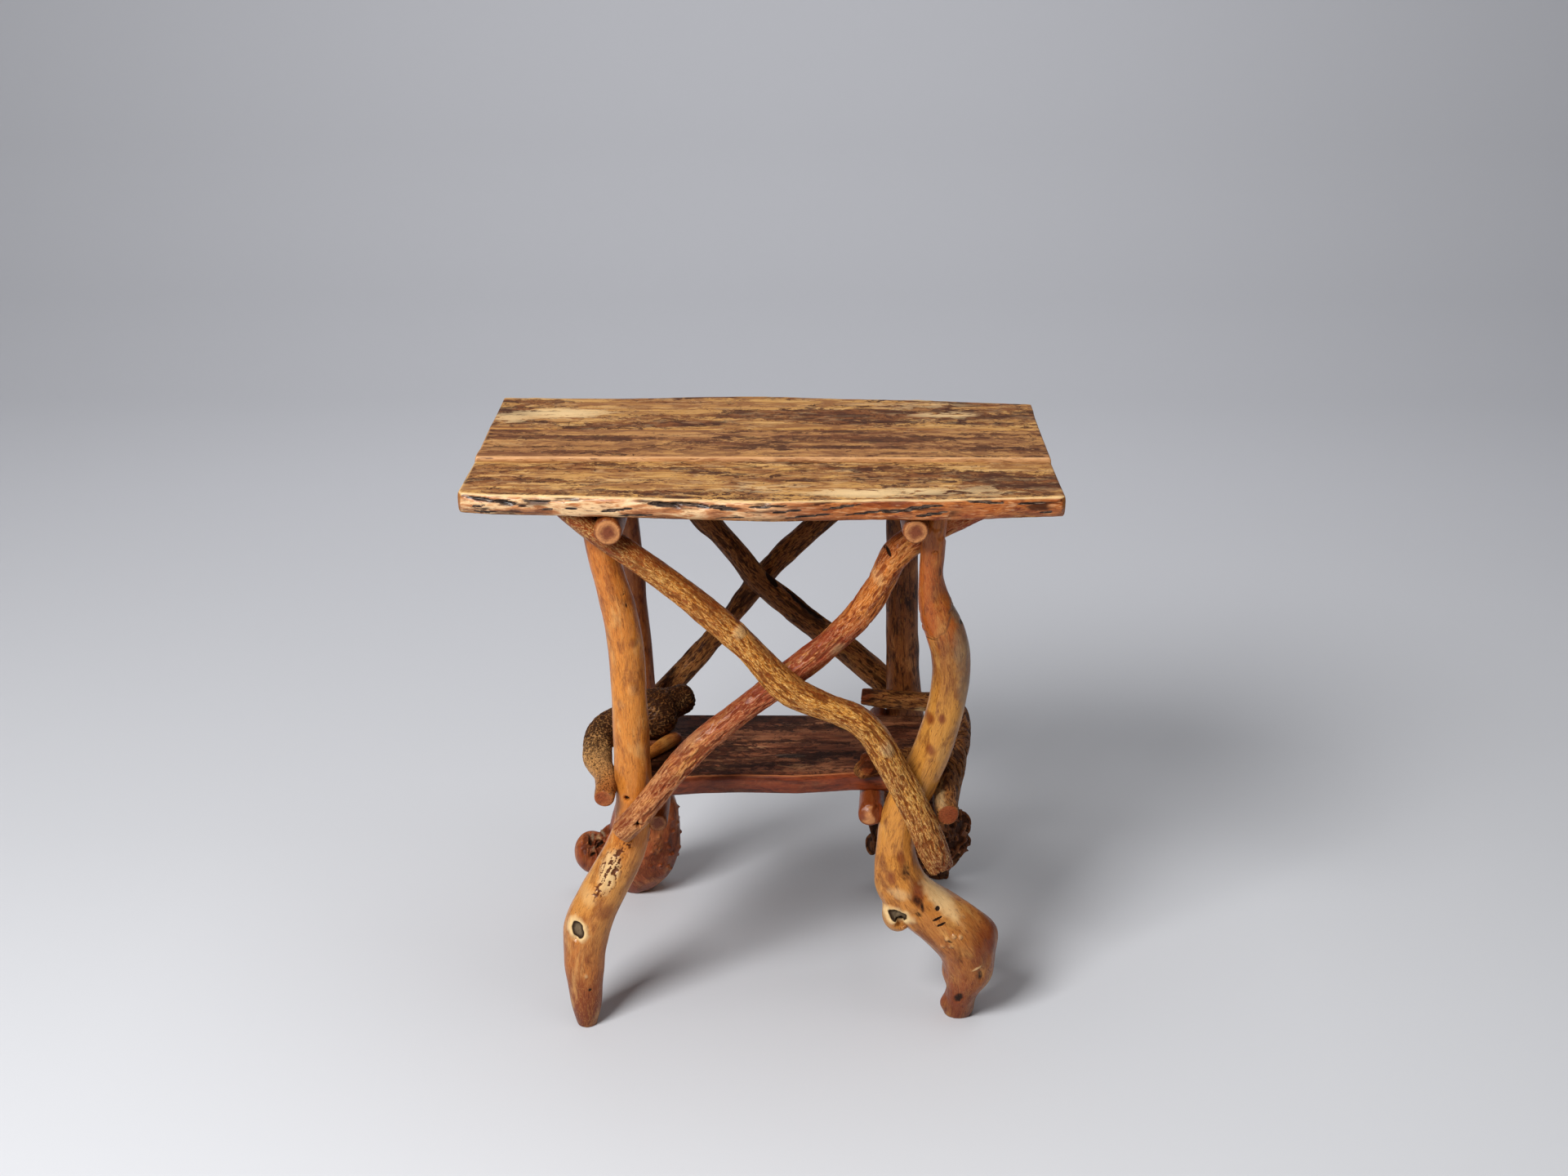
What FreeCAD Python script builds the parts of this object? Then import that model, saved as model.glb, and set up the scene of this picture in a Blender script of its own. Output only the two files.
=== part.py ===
# Rustic hickory table: three boards on two log bearers, four bent limb legs with root feet,
# crossed braces front and back, two branching side stretchers and a low shelf.

import FreeCAD
import Part
import math
import os

os.makedirs("parts", exist_ok=True)

Vector = FreeCAD.Vector
upward = Vector(0, 0, 1)
downward = Vector(0, 0, -1)
frontward = Vector(0, -1, 0)
rearward = Vector(0, 1, 0)

# Driving sizes of the whole table, in millimetres
table_height = 750.0
half_length = 373.0
half_depth = 239.0

# Top boards
top_thickness = 32.0
front_board_step = 5.0
board_gap = 0.4
live_edge_bulge = 6.0
sawn_end_ease = 2.0
arris_ease = 2.5

# Shelf board
shelf_thickness = 27.0
shelf_edge_bulge = 4.0

# Clearance left where one limb is scribed to another, and where an end meets a board
fit_gap = 0.3
end_ease = 2.0
cut_overrun = 60.0

# Girth radius of each limb at its reference station
front_left_girth = 23.0
front_right_girth = 24.0
rear_left_girth = 16.0
rear_right_girth = 22.0
brace_upper_girth = 17.0
brace_lower_girth = 17.0
rear_brace_near_girth = 19.0
rear_brace_far_girth = 16.5
left_stretcher_girth = 20.0
right_stretcher_girth = 16.0
fork_girth = 12.0
peg_girth = 6.4

# Bearer logs under the top and under the shelf
left_top_bearer_radius = 18.4
right_top_bearer_radius = 17.0
bearer_nose_share = 0.93
top_bearer_flat_share = 0.94
shelf_bearer_radius = 15.5
shelf_bearer_flat_share = 0.94
left_shelf_bearer_droop = 9.0
left_shelf_bearer_nose_share = 0.80
right_shelf_bearer_droop = 0.0
right_shelf_bearer_nose_share = 1.04

# Counterbored screws and the bearer nail
screw_bore_diameter = 9.5
screw_bore_depth = 11.0
screw_head_diameter = 8.6
screw_head_height = 3.2
screw_shank_diameter = 4.4
screw_length = 48.0
slot_width = 1.2
slot_depth = 1.0
shelf_screw_drop = 10.0
nail_hole_diameter = 5.0
nail_shank_diameter = 3.0
nail_head_diameter = 4.4
nail_head_height = 1.2
nail_length = 34.0
nail_sink = 2.5

# Knots and thorns
knot_hole_radius = 9.0
knot_hole_depth = 12.0
knot_mouth_share = 1.3
knot_floor_share = 0.6
eye_knot_radius = 7.2
eye_knot_depth = 4.0
thorn_length = 7.0
thorn_base_radius = 4.5
thorn_tip_radius = 1.3

# Sides of the polygons that round things are drawn with
leg_sides = 12
brace_sides = 10
thorn_sides = 6
bore_sides = 16

# Places of the boards: across the top for the joints, and along, across and up for the shelf
front_joint_share = -0.276
rear_joint_share = 0.268
shelf_left_share = -0.485
shelf_right_share = 0.595
shelf_front_share = -0.582
shelf_rear_share = 0.301
shelf_top_share = 0.4427

# Places of the bearer logs: front end along, rear end along, front end across, rear end across
left_top_bearer_shares = (-0.501, -0.490, -0.929, 0.745)
right_top_bearer_shares = (0.507, 0.512, -0.929, 0.619)
left_shelf_bearer_shares = (-0.365, -0.394, -0.711, 0.720)
right_shelf_bearer_shares = (0.381, 0.440, -0.661, 0.703)

# Places of the fastenings, along and up
shelf_screw_share = -0.469
brace_screw_shares = (-0.429, 0.3993)
nail_shares = (0.577, 0.891)

under_top_z = table_height - top_thickness
front_board_top_z = table_height - front_board_step
front_joint_y = front_joint_share * half_depth
rear_joint_y = rear_joint_share * half_depth
shelf_top_z = shelf_top_share * table_height
shelf_under_z = shelf_top_z - shelf_thickness
shelf_left_x = shelf_left_share * half_length
shelf_right_x = shelf_right_share * half_length
shelf_front_y = shelf_front_share * half_depth
shelf_rear_y = shelf_rear_share * half_depth

# Centre lines, as shares of half length, half depth, table height and the limb's girth.
# The two last columns of a foot row are its width and its depth, both as shares of the girth.
front_left_shares = (
    (-0.566, -0.660, 0.962, 0.74),
    (-0.548, -0.660, 0.890, 0.78),
    (-0.523, -0.657, 0.840, 0.82),
    (-0.484, -0.650, 0.766, 0.96),
    (-0.465, -0.646, 0.700, 0.94),
    (-0.458, -0.648, 0.610, 0.94),
    (-0.454, -0.656, 0.500, 1.00),
    (-0.449, -0.661, 0.430, 1.00),
    (-0.456, -0.669, 0.364, 1.01),
    (-0.489, -0.695, 0.314, 1.16),
    (-0.543, -0.730, 0.268, 1.22),
    (-0.598, -0.770, 0.217, 1.25),
    (-0.623, -0.787, 0.176, 1.25),
    (-0.634, -0.798, 0.133, 1.15),
    (-0.633, -0.810, 0.087, 1.03),
    (-0.629, -0.824, 0.040, 0.88),
    (-0.628, -0.835, 0.000, 0.52),
)
front_right_shares = (
    (0.585, -0.762, 0.962, 0.55),
    (0.573, -0.762, 0.906, 0.55),
    (0.566, -0.754, 0.848, 0.56),
    (0.574, -0.741, 0.808, 0.66),
    (0.589, -0.731, 0.781, 0.87),
    (0.613, -0.715, 0.749, 1.02),
    (0.641, -0.699, 0.708, 1.03),
    (0.651, -0.684, 0.665, 0.97),
    (0.644, -0.669, 0.614, 0.94),
    (0.622, -0.658, 0.562, 0.95),
    (0.588, -0.653, 0.497, 1.02),
    (0.516, -0.653, 0.422, 1.09),
    (0.476, -0.657, 0.366, 0.99),
    (0.470, -0.669, 0.320, 1.01),
    (0.478, -0.686, 0.281, 1.24),
    (0.512, -0.707, 0.241, 1.40),
    (0.595, -0.724, 0.209, 1.49),
    (0.680, -0.741, 0.181, 1.65),
    (0.737, -0.745, 0.141, 1.62),
    (0.745, -0.745, 0.092, 1.34),
    (0.731, -0.732, 0.059, 1.14),
    (0.718, -0.715, 0.031, 0.90),
    (0.705, -0.703, 0.000, 0.74),
)
rear_left_shares = (
    (-0.545, 0.625, 0.962, 1.00),
    (-0.530, 0.627, 0.860, 0.95),
    (-0.507, 0.628, 0.771, 0.92),
    (-0.495, 0.628, 0.690, 0.92),
    (-0.488, 0.628, 0.605, 1.01),
    (-0.483, 0.630, 0.533, 1.10),
    (-0.478, 0.638, 0.460, 1.25),
    (-0.478, 0.660, 0.385, 1.42),
)
rear_right_shares = (
    (0.508, 0.620, 0.962, 0.93),
    (0.512, 0.626, 0.860, 0.96),
    (0.518, 0.628, 0.707, 0.97),
    (0.520, 0.628, 0.593, 1.00),
    (0.527, 0.634, 0.492, 1.06),
    (0.541, 0.653, 0.388, 1.18),
)
# Root feet: centre, height, width share and depth share
rear_left_foot_shares = (
    (-0.480, 0.684, 0.320, 1.70, 1.68),
    (-0.478, 0.712, 0.255, 2.00, 2.05),
    (-0.474, 0.735, 0.196, 2.75, 2.60),
    (-0.480, 0.755, 0.145, 3.22, 2.85),
    (-0.484, 0.768, 0.095, 3.25, 2.90),
    (-0.492, 0.776, 0.050, 2.85, 2.65),
    (-0.504, 0.780, 0.022, 2.15, 2.05),
    (-0.515, 0.784, 0.000, 1.30, 1.25),
)
rear_right_foot_shares = (
    (0.554, 0.680, 0.318, 1.42, 1.34),
    (0.575, 0.715, 0.250, 1.90, 1.64),
    (0.595, 0.758, 0.192, 2.65, 1.88),
    (0.612, 0.790, 0.140, 3.30, 1.96),
    (0.616, 0.808, 0.095, 3.30, 1.94),
    (0.628, 0.832, 0.062, 2.60, 1.62),
    (0.664, 0.880, 0.038, 1.50, 1.10),
    (0.694, 0.928, 0.016, 0.82, 0.72),
    (0.700, 0.936, 0.000, 0.66, 0.60),
)
brace_upper_shares = (
    (-0.672, -0.791, 0.976, 0.86),
    (-0.626, -0.791, 0.954, 0.86),
    (-0.571, -0.791, 0.929, 0.84),
    (-0.507, -0.791, 0.905, 0.85),
    (-0.421, -0.795, 0.877, 0.92),
    (-0.299, -0.799, 0.830, 0.94),
    (-0.226, -0.803, 0.802, 0.97),
    (-0.133, -0.808, 0.760, 1.03),
    (-0.040, -0.818, 0.718, 0.98),
    (0.040, -0.830, 0.669, 1.13),
    (0.115, -0.834, 0.635, 1.08),
    (0.240, -0.836, 0.610, 0.95),
    (0.323, -0.836, 0.595, 1.08),
    (0.388, -0.836, 0.562, 1.07),
    (0.448, -0.836, 0.503, 1.14),
    (0.500, -0.828, 0.456, 1.11),
    (0.544, -0.818, 0.410, 1.19),
    (0.597, -0.798, 0.343, 1.25),
    (0.627, -0.782, 0.302, 1.02),
)
brace_lower_shares = (
    (-0.494, -0.818, 0.373, 0.86),
    (-0.418, -0.811, 0.411, 0.90),
    (-0.299, -0.798, 0.493, 1.03),
    (-0.202, -0.774, 0.542, 0.93),
    (-0.101, -0.745, 0.582, 0.90),
    (0.009, -0.715, 0.621, 1.00),
    (0.099, -0.696, 0.657, 1.06),
    (0.206, -0.688, 0.698, 1.05),
    (0.317, -0.676, 0.750, 0.98),
    (0.369, -0.665, 0.785, 1.05),
    (0.415, -0.653, 0.826, 1.03),
    (0.442, -0.644, 0.862, 1.10),
    (0.507, -0.648, 0.892, 1.00),
    (0.600, -0.650, 0.918, 0.93),
    (0.695, -0.648, 0.941, 0.90),
    (0.790, -0.644, 0.965, 0.84),
)
rear_brace_near_shares = (
    (-0.582, 0.764, 0.974, 0.96),
    (-0.497, 0.768, 0.925, 0.96),
    (-0.392, 0.774, 0.870, 0.94),
    (-0.283, 0.778, 0.810, 0.91),
    (-0.209, 0.783, 0.769, 0.87),
    (-0.138, 0.787, 0.730, 0.79),
    (-0.075, 0.791, 0.686, 0.85),
    (-0.022, 0.794, 0.651, 0.93),
    (0.047, 0.795, 0.623, 0.87),
    (0.108, 0.795, 0.596, 0.90),
    (0.182, 0.795, 0.565, 0.95),
    (0.294, 0.795, 0.522, 0.98),
    (0.358, 0.795, 0.494, 1.00),
    (0.412, 0.795, 0.470, 1.01),
    (0.467, 0.797, 0.444, 0.94),
    (0.532, 0.799, 0.414, 0.88),
    (0.586, 0.801, 0.388, 0.82),
)
rear_brace_far_shares = (
    (0.670, 0.762, 0.974, 1.00),
    (0.556, 0.768, 0.926, 1.00),
    (0.420, 0.826, 0.868, 0.98),
    (0.280, 0.872, 0.798, 0.95),
    (0.200, 0.895, 0.758, 0.93),
    (0.103, 0.916, 0.713, 0.92),
    (0.008, 0.928, 0.661, 0.93),
    (-0.094, 0.932, 0.594, 0.80),
    (-0.184, 0.922, 0.531, 0.79),
    (-0.283, 0.898, 0.475, 0.87),
    (-0.370, 0.862, 0.430, 0.93),
    (-0.470, 0.832, 0.377, 0.94),
    (-0.522, 0.826, 0.347, 0.90),
)
left_stretcher_shares = (
    (-0.548, -0.804, 0.436, 0.66),
    (-0.545, -0.700, 0.443, 0.66),
    (-0.546, -0.600, 0.447, 0.68),
    (-0.572, -0.480, 0.449, 0.73),
    (-0.591, -0.340, 0.451, 0.88),
    (-0.603, -0.190, 0.457, 1.06),
    (-0.584, -0.090, 0.463, 1.14),
    (-0.536, -0.030, 0.468, 1.24),
    (-0.480, -0.005, 0.475, 1.42),
    (-0.430, -0.008, 0.484, 1.66),
    (-0.385, -0.006, 0.490, 1.72),
    (-0.345, 0.004, 0.493, 1.40),
    (-0.325, 0.008, 0.494, 0.85),
)
left_knob_shares = (
    (-0.415, -0.010, 0.486, 1.10),
    (-0.362, 0.040, 0.495, 1.10),
    (-0.326, 0.078, 0.499, 1.00),
    (-0.300, 0.104, 0.501, 1.02),
    (-0.278, 0.126, 0.502, 0.85),
    (-0.267, 0.138, 0.502, 0.45),
)
right_stretcher_shares = (
    (0.647, -0.800, 0.407, 0.92),
    (0.642, -0.690, 0.408, 0.98),
    (0.649, -0.560, 0.412, 1.08),
    (0.661, -0.420, 0.422, 1.20),
    (0.686, -0.230, 0.434, 1.22),
    (0.705, -0.050, 0.442, 1.15),
    (0.721, 0.130, 0.450, 1.05),
    (0.719, 0.300, 0.454, 0.95),
    (0.690, 0.405, 0.452, 0.88),
    (0.625, 0.470, 0.448, 0.83),
    (0.508, 0.484, 0.449, 0.80),
    (0.370, 0.494, 0.455, 0.74),
)
fork_shares = (
    (0.690, -0.230, 0.436, 1.05),
    (0.640, -0.350, 0.456, 1.00),
    (0.585, -0.438, 0.470, 0.98),
    (0.515, -0.482, 0.473, 0.98),
    (0.440, -0.486, 0.464, 0.96),
    (0.370, -0.478, 0.455, 0.86),
)
twig_shares = (
    (0.430, -0.490, 0.457, 0.80),
    (0.385, -0.508, 0.452, 0.74),
    (0.338, -0.545, 0.447, 0.62),
)
peg_shares = (
    (-0.504, -0.570, 0.4512, 1.00),
    (-0.454, -0.425, 0.4513, 1.00),
    (-0.370, -0.220, 0.4514, 0.98),
    (-0.314, -0.092, 0.4516, 0.98),
)
# Burl lobes: centre as shares of the table's sizes, and width, depth and height as shares of girth
rear_left_lobe_shares = (
    (-0.694, 0.760, 0.083, 1.72, 1.60, 2.05),
    (-0.600, 0.760, 0.100, 1.80, 1.60, 2.00),
)
rear_right_lobe_shares = (
    (0.770, 0.850, 0.133, 0.98, 0.85, 1.00),
    (0.776, 0.845, 0.092, 0.90, 0.85, 0.90),
    (0.690, 0.850, 0.172, 1.10, 0.90, 1.05),
    (0.446, 0.810, 0.095, 0.85, 0.80, 1.00),
    (0.462, 0.800, 0.140, 0.90, 0.85, 1.10),
    (0.588, 0.690, 0.120, 1.50, 0.85, 1.50),
)
# The heel that carries the hollow knot of the right front foot
front_right_lobe_shares = (
    (0.479, -0.750, 0.207, 0.90, 0.86, 0.94),
)
lobe_profile_shares = ((0.0, 1.0), (0.5, 0.87), (0.87, 0.5), (0.97, 0.18))
# Thorns on the left root foot: turn in degrees about the foot, and height as a share of the table
thorn_turn_shares = (
    (-0.02, 0.190), (-0.05, 0.160), (0.00, 0.128), (-0.03, 0.100), (0.02, 0.072), (-0.10, 0.176),
    (-0.13, 0.132), (-0.11, 0.098), (-0.15, 0.075), (-0.17, 0.118), (-0.08, 0.060), (0.05, 0.150),
    (0.08, 0.110), (0.07, 0.080),
)
# Board outlines: place along the length and place across, both as shares
front_edge_shares = (
    (-0.985, -0.858), (-0.890, -0.887), (-0.780, -0.900), (-0.660, -0.905), (-0.447, -0.934),
    (-0.310, -0.955), (-0.190, -0.972), (-0.085, -0.985), (0.038, -1.000), (0.130, -0.990),
    (0.210, -0.980), (0.300, -0.970), (0.420, -0.955), (0.570, -0.965), (0.680, -0.950),
    (0.780, -0.935), (0.985, -0.900),
)
back_edge_shares = (
    (0.995, 0.835), (0.900, 0.855), (0.810, 0.870), (0.660, 0.905), (0.440, 0.937), (0.270, 0.950),
    (0.190, 0.965), (0.070, 0.990), (-0.060, 1.000), (-0.270, 0.985), (-0.400, 0.960),
    (-0.547, 0.945), (-0.750, 0.948), (-0.985, 0.955),
)
left_end_shares = ((-0.987, 0.62), (-0.989, 0.30), (-0.988, -0.10), (-0.994, -0.45), (-1.000, -0.82))
right_end_shares = ((1.000, -0.87), (0.997, -0.60), (0.994, -0.30), (0.993, 0.15), (0.993, 0.55))
shelf_edge_shares = (
    (0.000, 0.99), (0.160, 1.000), (0.245, 0.960), (0.375, 0.935), (0.480, 0.945), (0.560, 0.955),
    (0.640, 0.925), (0.740, 0.880), (0.830, 0.870), (0.900, 0.960), (1.000, 0.970),
)
# Height of each row of a live edge as a share of the thickness, and how far it stands back
live_row_shares = ((0.0, 1.0), (0.16, 0.32), (0.40, 0.0), (0.72, 0.0), (0.90, 0.25), (1.0, 0.85))
# Stations along a bearer log, as shares of its length
log_station_shares = (0.0, 0.25, 0.6, 1.0)
# Middles of the two front knots, as shares of half length and table height
eye_knot_shares = (-0.655, 0.181)
hollow_knot_shares = (0.484, 0.200)


def place(row):
    """A point from shares of the table's half length, half depth and height."""
    return Vector(row[0] * half_length, row[1] * half_depth, row[2] * table_height)


def ring_radius(radius, sides):
    """The corner radius of a polygon with the area of a circle."""
    turn = 2.0 * math.pi / sides
    return radius * math.sqrt(turn / math.sin(turn))


def ring(centre, along, wide, deep, sides, upright):
    """One section of a limb, square to the line that it follows."""
    across = upright - along * upright.dot(along)
    across.normalize()
    beside = along.cross(across)
    points = []
    for step in range(sides):
        turn = 2.0 * math.pi * (step + 0.5) / sides
        offset = across * (deep * math.cos(turn)) + beside * (wide * math.sin(turn))
        points.append(centre + offset)
    return points


def facet(points):
    """One flat face through the given corners."""
    return Part.Face(Part.makePolygon(list(points) + [points[0]]))


def skin(rings):
    """A closed solid lofted through the sections in flat facets, as a drawknife leaves a limb."""
    faces = [facet(rings[0]), facet(rings[-1])]
    for lower, upper in zip(rings, rings[1:]):
        for side in range(len(lower)):
            after = (side + 1) % len(lower)
            faces.append(facet((lower[side], lower[after], upper[after])))
            faces.append(facet((lower[side], upper[after], upper[side])))
    solid = Part.Solid(Part.Shell(faces))
    if solid.Volume < 0:
        solid.reverse()
    return solid


def eased(points, centre, radius, ease):
    """A section drawn in by the ease of a cut end."""
    share = (radius - ease) / radius
    return [centre + (point - centre) * share for point in points]


def limb(rows, girth, sides, upright, grow=0.0, flat_ends=(False, False), ease_ends=(False, False)):
    """A bent round limb that follows a table of shares."""
    centres = [place(row) for row in rows]
    rings = []
    last = len(rows) - 1
    for index, row in enumerate(rows):
        before = centres[max(0, index - 1)]
        after = centres[min(last, index + 1)]
        along = after - before
        if (index == 0 and flat_ends[0]) or (index == last and flat_ends[1]):
            along = Vector(0, 0, math.copysign(1.0, along.z))
        along.normalize()
        radius = row[3] * girth
        corner = ring_radius(radius, sides) + grow
        points = ring(centres[index], along, corner, corner, sides, upright)
        if index == 0 and ease_ends[0]:
            rings.append(eased(points, centres[0], radius, end_ease))
            points = [point + along * end_ease for point in points]
        if index == last and ease_ends[1]:
            rings.append([point - along * end_ease for point in points])
            points = eased(points, centres[last], radius, end_ease)
        rings.append(points)
    return skin(rings)


def foot_limb(leg_rows, foot_rows, girth, sides, grow=0.0):
    """A leg whose lower rows swell into a root foot with level sections."""
    centres = [place(row) for row in leg_rows + foot_rows]
    rings = []
    for index, row in enumerate(leg_rows):
        along = centres[index + 1] - centres[max(0, index - 1)]
        if index == 0:
            along = Vector(downward)
        along.normalize()
        corner = ring_radius(row[3] * girth, sides) + grow
        rings.append(ring(centres[index], along, corner, corner, sides, frontward))
    for row in foot_rows:
        wide = ring_radius(row[3] * girth, sides) + grow
        deep = ring_radius(row[4] * girth, sides) + grow
        rings.append(ring(place(row), downward, wide, deep, sides, frontward))
    return skin(rings)


def lobe(row, girth, sides):
    """A rounded burl lobe, built from level sections above and below its middle."""
    centre = place(row)
    wide = row[3] * girth
    deep = row[4] * girth
    tall = row[5] * girth
    levels = [(-rise, spread) for rise, spread in reversed(lobe_profile_shares[1:])]
    levels = levels + list(lobe_profile_shares)
    rings = []
    for rise, spread in levels:
        middle = centre + Vector(0, 0, rise * tall)
        rings.append(ring(middle, downward, wide * spread, deep * spread, sides, frontward))
    return skin(rings)


def largest(shape):
    """The main solid that a cut leaves."""
    solids = sorted(shape.Solids, key=lambda solid: solid.Volume)
    return solids[-1]


def scribed(piece, neighbours):
    """A piece cut to sit against its neighbours, which come already grown by the fit gap."""
    for neighbour in neighbours:
        piece = largest(piece.cut(neighbour))
    return piece


def slab(low_z, high_z):
    """A level block wider than the table, to trim ends against a board or the floor."""
    wide = 2.0 * (half_length + cut_overrun)
    deep = 2.0 * (half_depth + cut_overrun)
    corner = Vector(-half_length - cut_overrun, -half_depth - cut_overrun, low_z)
    return Part.makeBox(wide, deep, high_z - low_z, corner)


def under_top(piece):
    """A piece trimmed level at the under side of the top boards."""
    return largest(piece.cut(slab(under_top_z, under_top_z + table_height)))


# Every limb has one short function, and can be asked for grown by the gap that its neighbour needs
def front_left_leg(grow=0.0):
    return limb(front_left_shares, front_left_girth, leg_sides, frontward, grow, (True, True))


def front_right_leg(grow=0.0):
    return limb(front_right_shares, front_right_girth, leg_sides, frontward, grow, (True, True))


def rear_left_leg(grow=0.0):
    return foot_limb(rear_left_shares, rear_left_foot_shares, rear_left_girth, leg_sides, grow)


def rear_right_leg(grow=0.0):
    return foot_limb(rear_right_shares, rear_right_foot_shares, rear_right_girth, leg_sides, grow)


def front_brace(rows, girth, grow, ease_ends):
    return limb(rows, girth, brace_sides, frontward, grow, (False, False), ease_ends)


def brace_upper(grow=0.0):
    return front_brace(brace_upper_shares, brace_upper_girth, grow, (False, True))


def brace_lower(grow=0.0):
    return front_brace(brace_lower_shares, brace_lower_girth, grow, (True, False))


def rear_brace_near(grow=0.0):
    return limb(rear_brace_near_shares, rear_brace_near_girth, brace_sides, frontward, grow)


def rear_brace_far(grow=0.0):
    return limb(rear_brace_far_shares, rear_brace_far_girth, brace_sides, frontward, grow)


def side_rail(rows, girth, sides, grow, ease_ends=(False, False)):
    return limb(rows, girth, sides, upward, grow, (False, False), ease_ends)


def left_stretcher(grow=0.0):
    rail = side_rail(left_stretcher_shares, left_stretcher_girth, leg_sides, grow, (True, False))
    knob = side_rail(left_knob_shares, left_stretcher_girth, brace_sides, grow)
    return largest(rail.fuse(knob))


def right_stretcher(grow=0.0):
    rail = side_rail(right_stretcher_shares, right_stretcher_girth, brace_sides, grow, (True, True))
    fork = side_rail(fork_shares, fork_girth, brace_sides, grow)
    twig = side_rail(twig_shares, fork_girth, thorn_sides, grow)
    return largest(rail.fuse(fork).fuse(twig))


def peg():
    return side_rail(peg_shares, peg_girth, brace_sides, 0.0, (False, True))


def log_rows(places, centre_z, droop):
    """Four stations of a bearer log that runs from front to back, as real places."""
    rows = []
    for share in log_station_shares:
        x = (places[0] + (places[1] - places[0]) * share) * half_length
        y = (places[2] + (places[3] - places[2]) * share) * half_depth
        rows.append(Vector(x, y, centre_z - droop * (1.0 - share) ** 4))
    return rows


def log(rows, radii, sides, grow=0.0):
    """A nearly straight log with eased cut ends."""
    rings = []
    last = len(rows) - 1
    upright = Vector(0, 0, 1)
    for index, centre in enumerate(rows):
        along = rows[min(last, index + 1)] - rows[max(0, index - 1)]
        along.normalize()
        corner = radii[index] + grow
        points = ring(centre, along, corner, corner, sides, upright)
        if index == 0:
            rings.append(eased(points, centre, corner, end_ease))
            points = [point + along * end_ease for point in points]
        if index == last:
            rings.append([point - along * end_ease for point in points])
            points = eased(points, centre, corner, end_ease)
        rings.append(points)
    return skin(rings)


def top_bearer(places, radius, neighbours):
    """A log under the top, planed flat where the boards lie on it."""
    rows = log_rows(places, under_top_z - radius * top_bearer_flat_share, 0.0)
    shape = log(rows, [radius * bearer_nose_share, radius, radius, radius], leg_sides)
    return scribed(under_top(shape), neighbours)


def shelf_bearer(places, droop, nose, neighbours):
    """A log under the shelf, planed flat where the shelf lies on it."""
    rows = log_rows(places, shelf_under_z - shelf_bearer_radius * shelf_bearer_flat_share, droop)
    radii = [shelf_bearer_radius * nose, shelf_bearer_radius, shelf_bearer_radius, shelf_bearer_radius]
    shape = log(rows, radii, brace_sides)
    return scribed(largest(shape.cut(slab(shelf_under_z, shelf_under_z + table_height))), neighbours)


def board(outline, low_z, high_z, bulge):
    """A board lofted through its outline at several heights, so that waney edges get a nose."""
    # Each outline point carries the direction in which it draws back, or none on a joint
    thick = high_z - low_z
    wires = []
    for height, back in live_row_shares:
        points = []
        for x, y, in_x, in_y in outline:
            point = Vector(x + in_x * back * bulge, y + in_y * back * bulge, low_z + height * thick)
            points.append(point)
        wires.append(Part.makePolygon(points + [points[0]]))
    return Part.makeLoft(wires, True, True)


def end_points(shares, low_y, high_y, side):
    """The points of a sawn end between two places across the top."""
    points = []
    ease = sawn_end_ease / live_edge_bulge
    for x_share, y_share in shares:
        y = y_share * half_depth
        if low_y < y < high_y:
            points.append((x_share * half_length, y, -side * ease, 0.0))
    return points


def end_x(shares, y):
    """The place of a sawn end at one place across the top."""
    ordered = sorted((y_share * half_depth, x_share * half_length) for x_share, y_share in shares)
    if y <= ordered[0][0]:
        return ordered[0][1]
    for low, high in zip(ordered, ordered[1:]):
        if y <= high[0]:
            return low[1] + (high[1] - low[1]) * (y - low[0]) / (high[0] - low[0])
    return ordered[-1][1]


def joint_corner(shares, y, side):
    """A corner where a joint between boards runs out at a sawn end."""
    return (end_x(shares, y), y, -side * sawn_end_ease / live_edge_bulge, 0.0)


def front_board():
    back_y = front_joint_y - board_gap / 2.0
    outline = []
    for x_share, y_share in front_edge_shares:
        outline.append((x_share * half_length, y_share * half_depth, 0.0, 1.0))
    outline += end_points(right_end_shares, -half_depth, back_y, 1.0)
    outline.append(joint_corner(right_end_shares, back_y, 1.0))
    outline.append(joint_corner(left_end_shares, back_y, -1.0))
    outline += end_points(left_end_shares, -half_depth, back_y, -1.0)
    return board(outline, under_top_z, front_board_top_z, live_edge_bulge)


def middle_board():
    low_y = front_joint_y + board_gap / 2.0
    high_y = rear_joint_y - board_gap / 2.0
    outline = [joint_corner(left_end_shares, low_y, -1.0)]
    outline.append(joint_corner(right_end_shares, low_y, 1.0))
    outline += end_points(right_end_shares, low_y, high_y, 1.0)
    outline.append(joint_corner(right_end_shares, high_y, 1.0))
    outline.append(joint_corner(left_end_shares, high_y, -1.0))
    outline += end_points(left_end_shares, low_y, high_y, -1.0)
    shape = board(outline, under_top_z, table_height, live_edge_bulge)
    edge = []
    for line in shape.Edges:
        box = line.BoundBox
        level = box.ZMin > table_height - board_gap and box.ZLength < board_gap
        if level and box.YMax < low_y + board_gap and box.XLength > half_length:
            edge.append(line)
    return shape.makeChamfer(arris_ease, edge)


def rear_board():
    low_y = rear_joint_y + board_gap / 2.0
    outline = [joint_corner(left_end_shares, low_y, -1.0)]
    outline.append(joint_corner(right_end_shares, low_y, 1.0))
    outline += end_points(right_end_shares, low_y, half_depth, 1.0)
    for x_share, y_share in back_edge_shares:
        outline.append((x_share * half_length, y_share * half_depth, 0.0, -1.0))
    outline += end_points(left_end_shares, low_y, half_depth, -1.0)
    return board(outline, under_top_z, table_height, live_edge_bulge)


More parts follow.
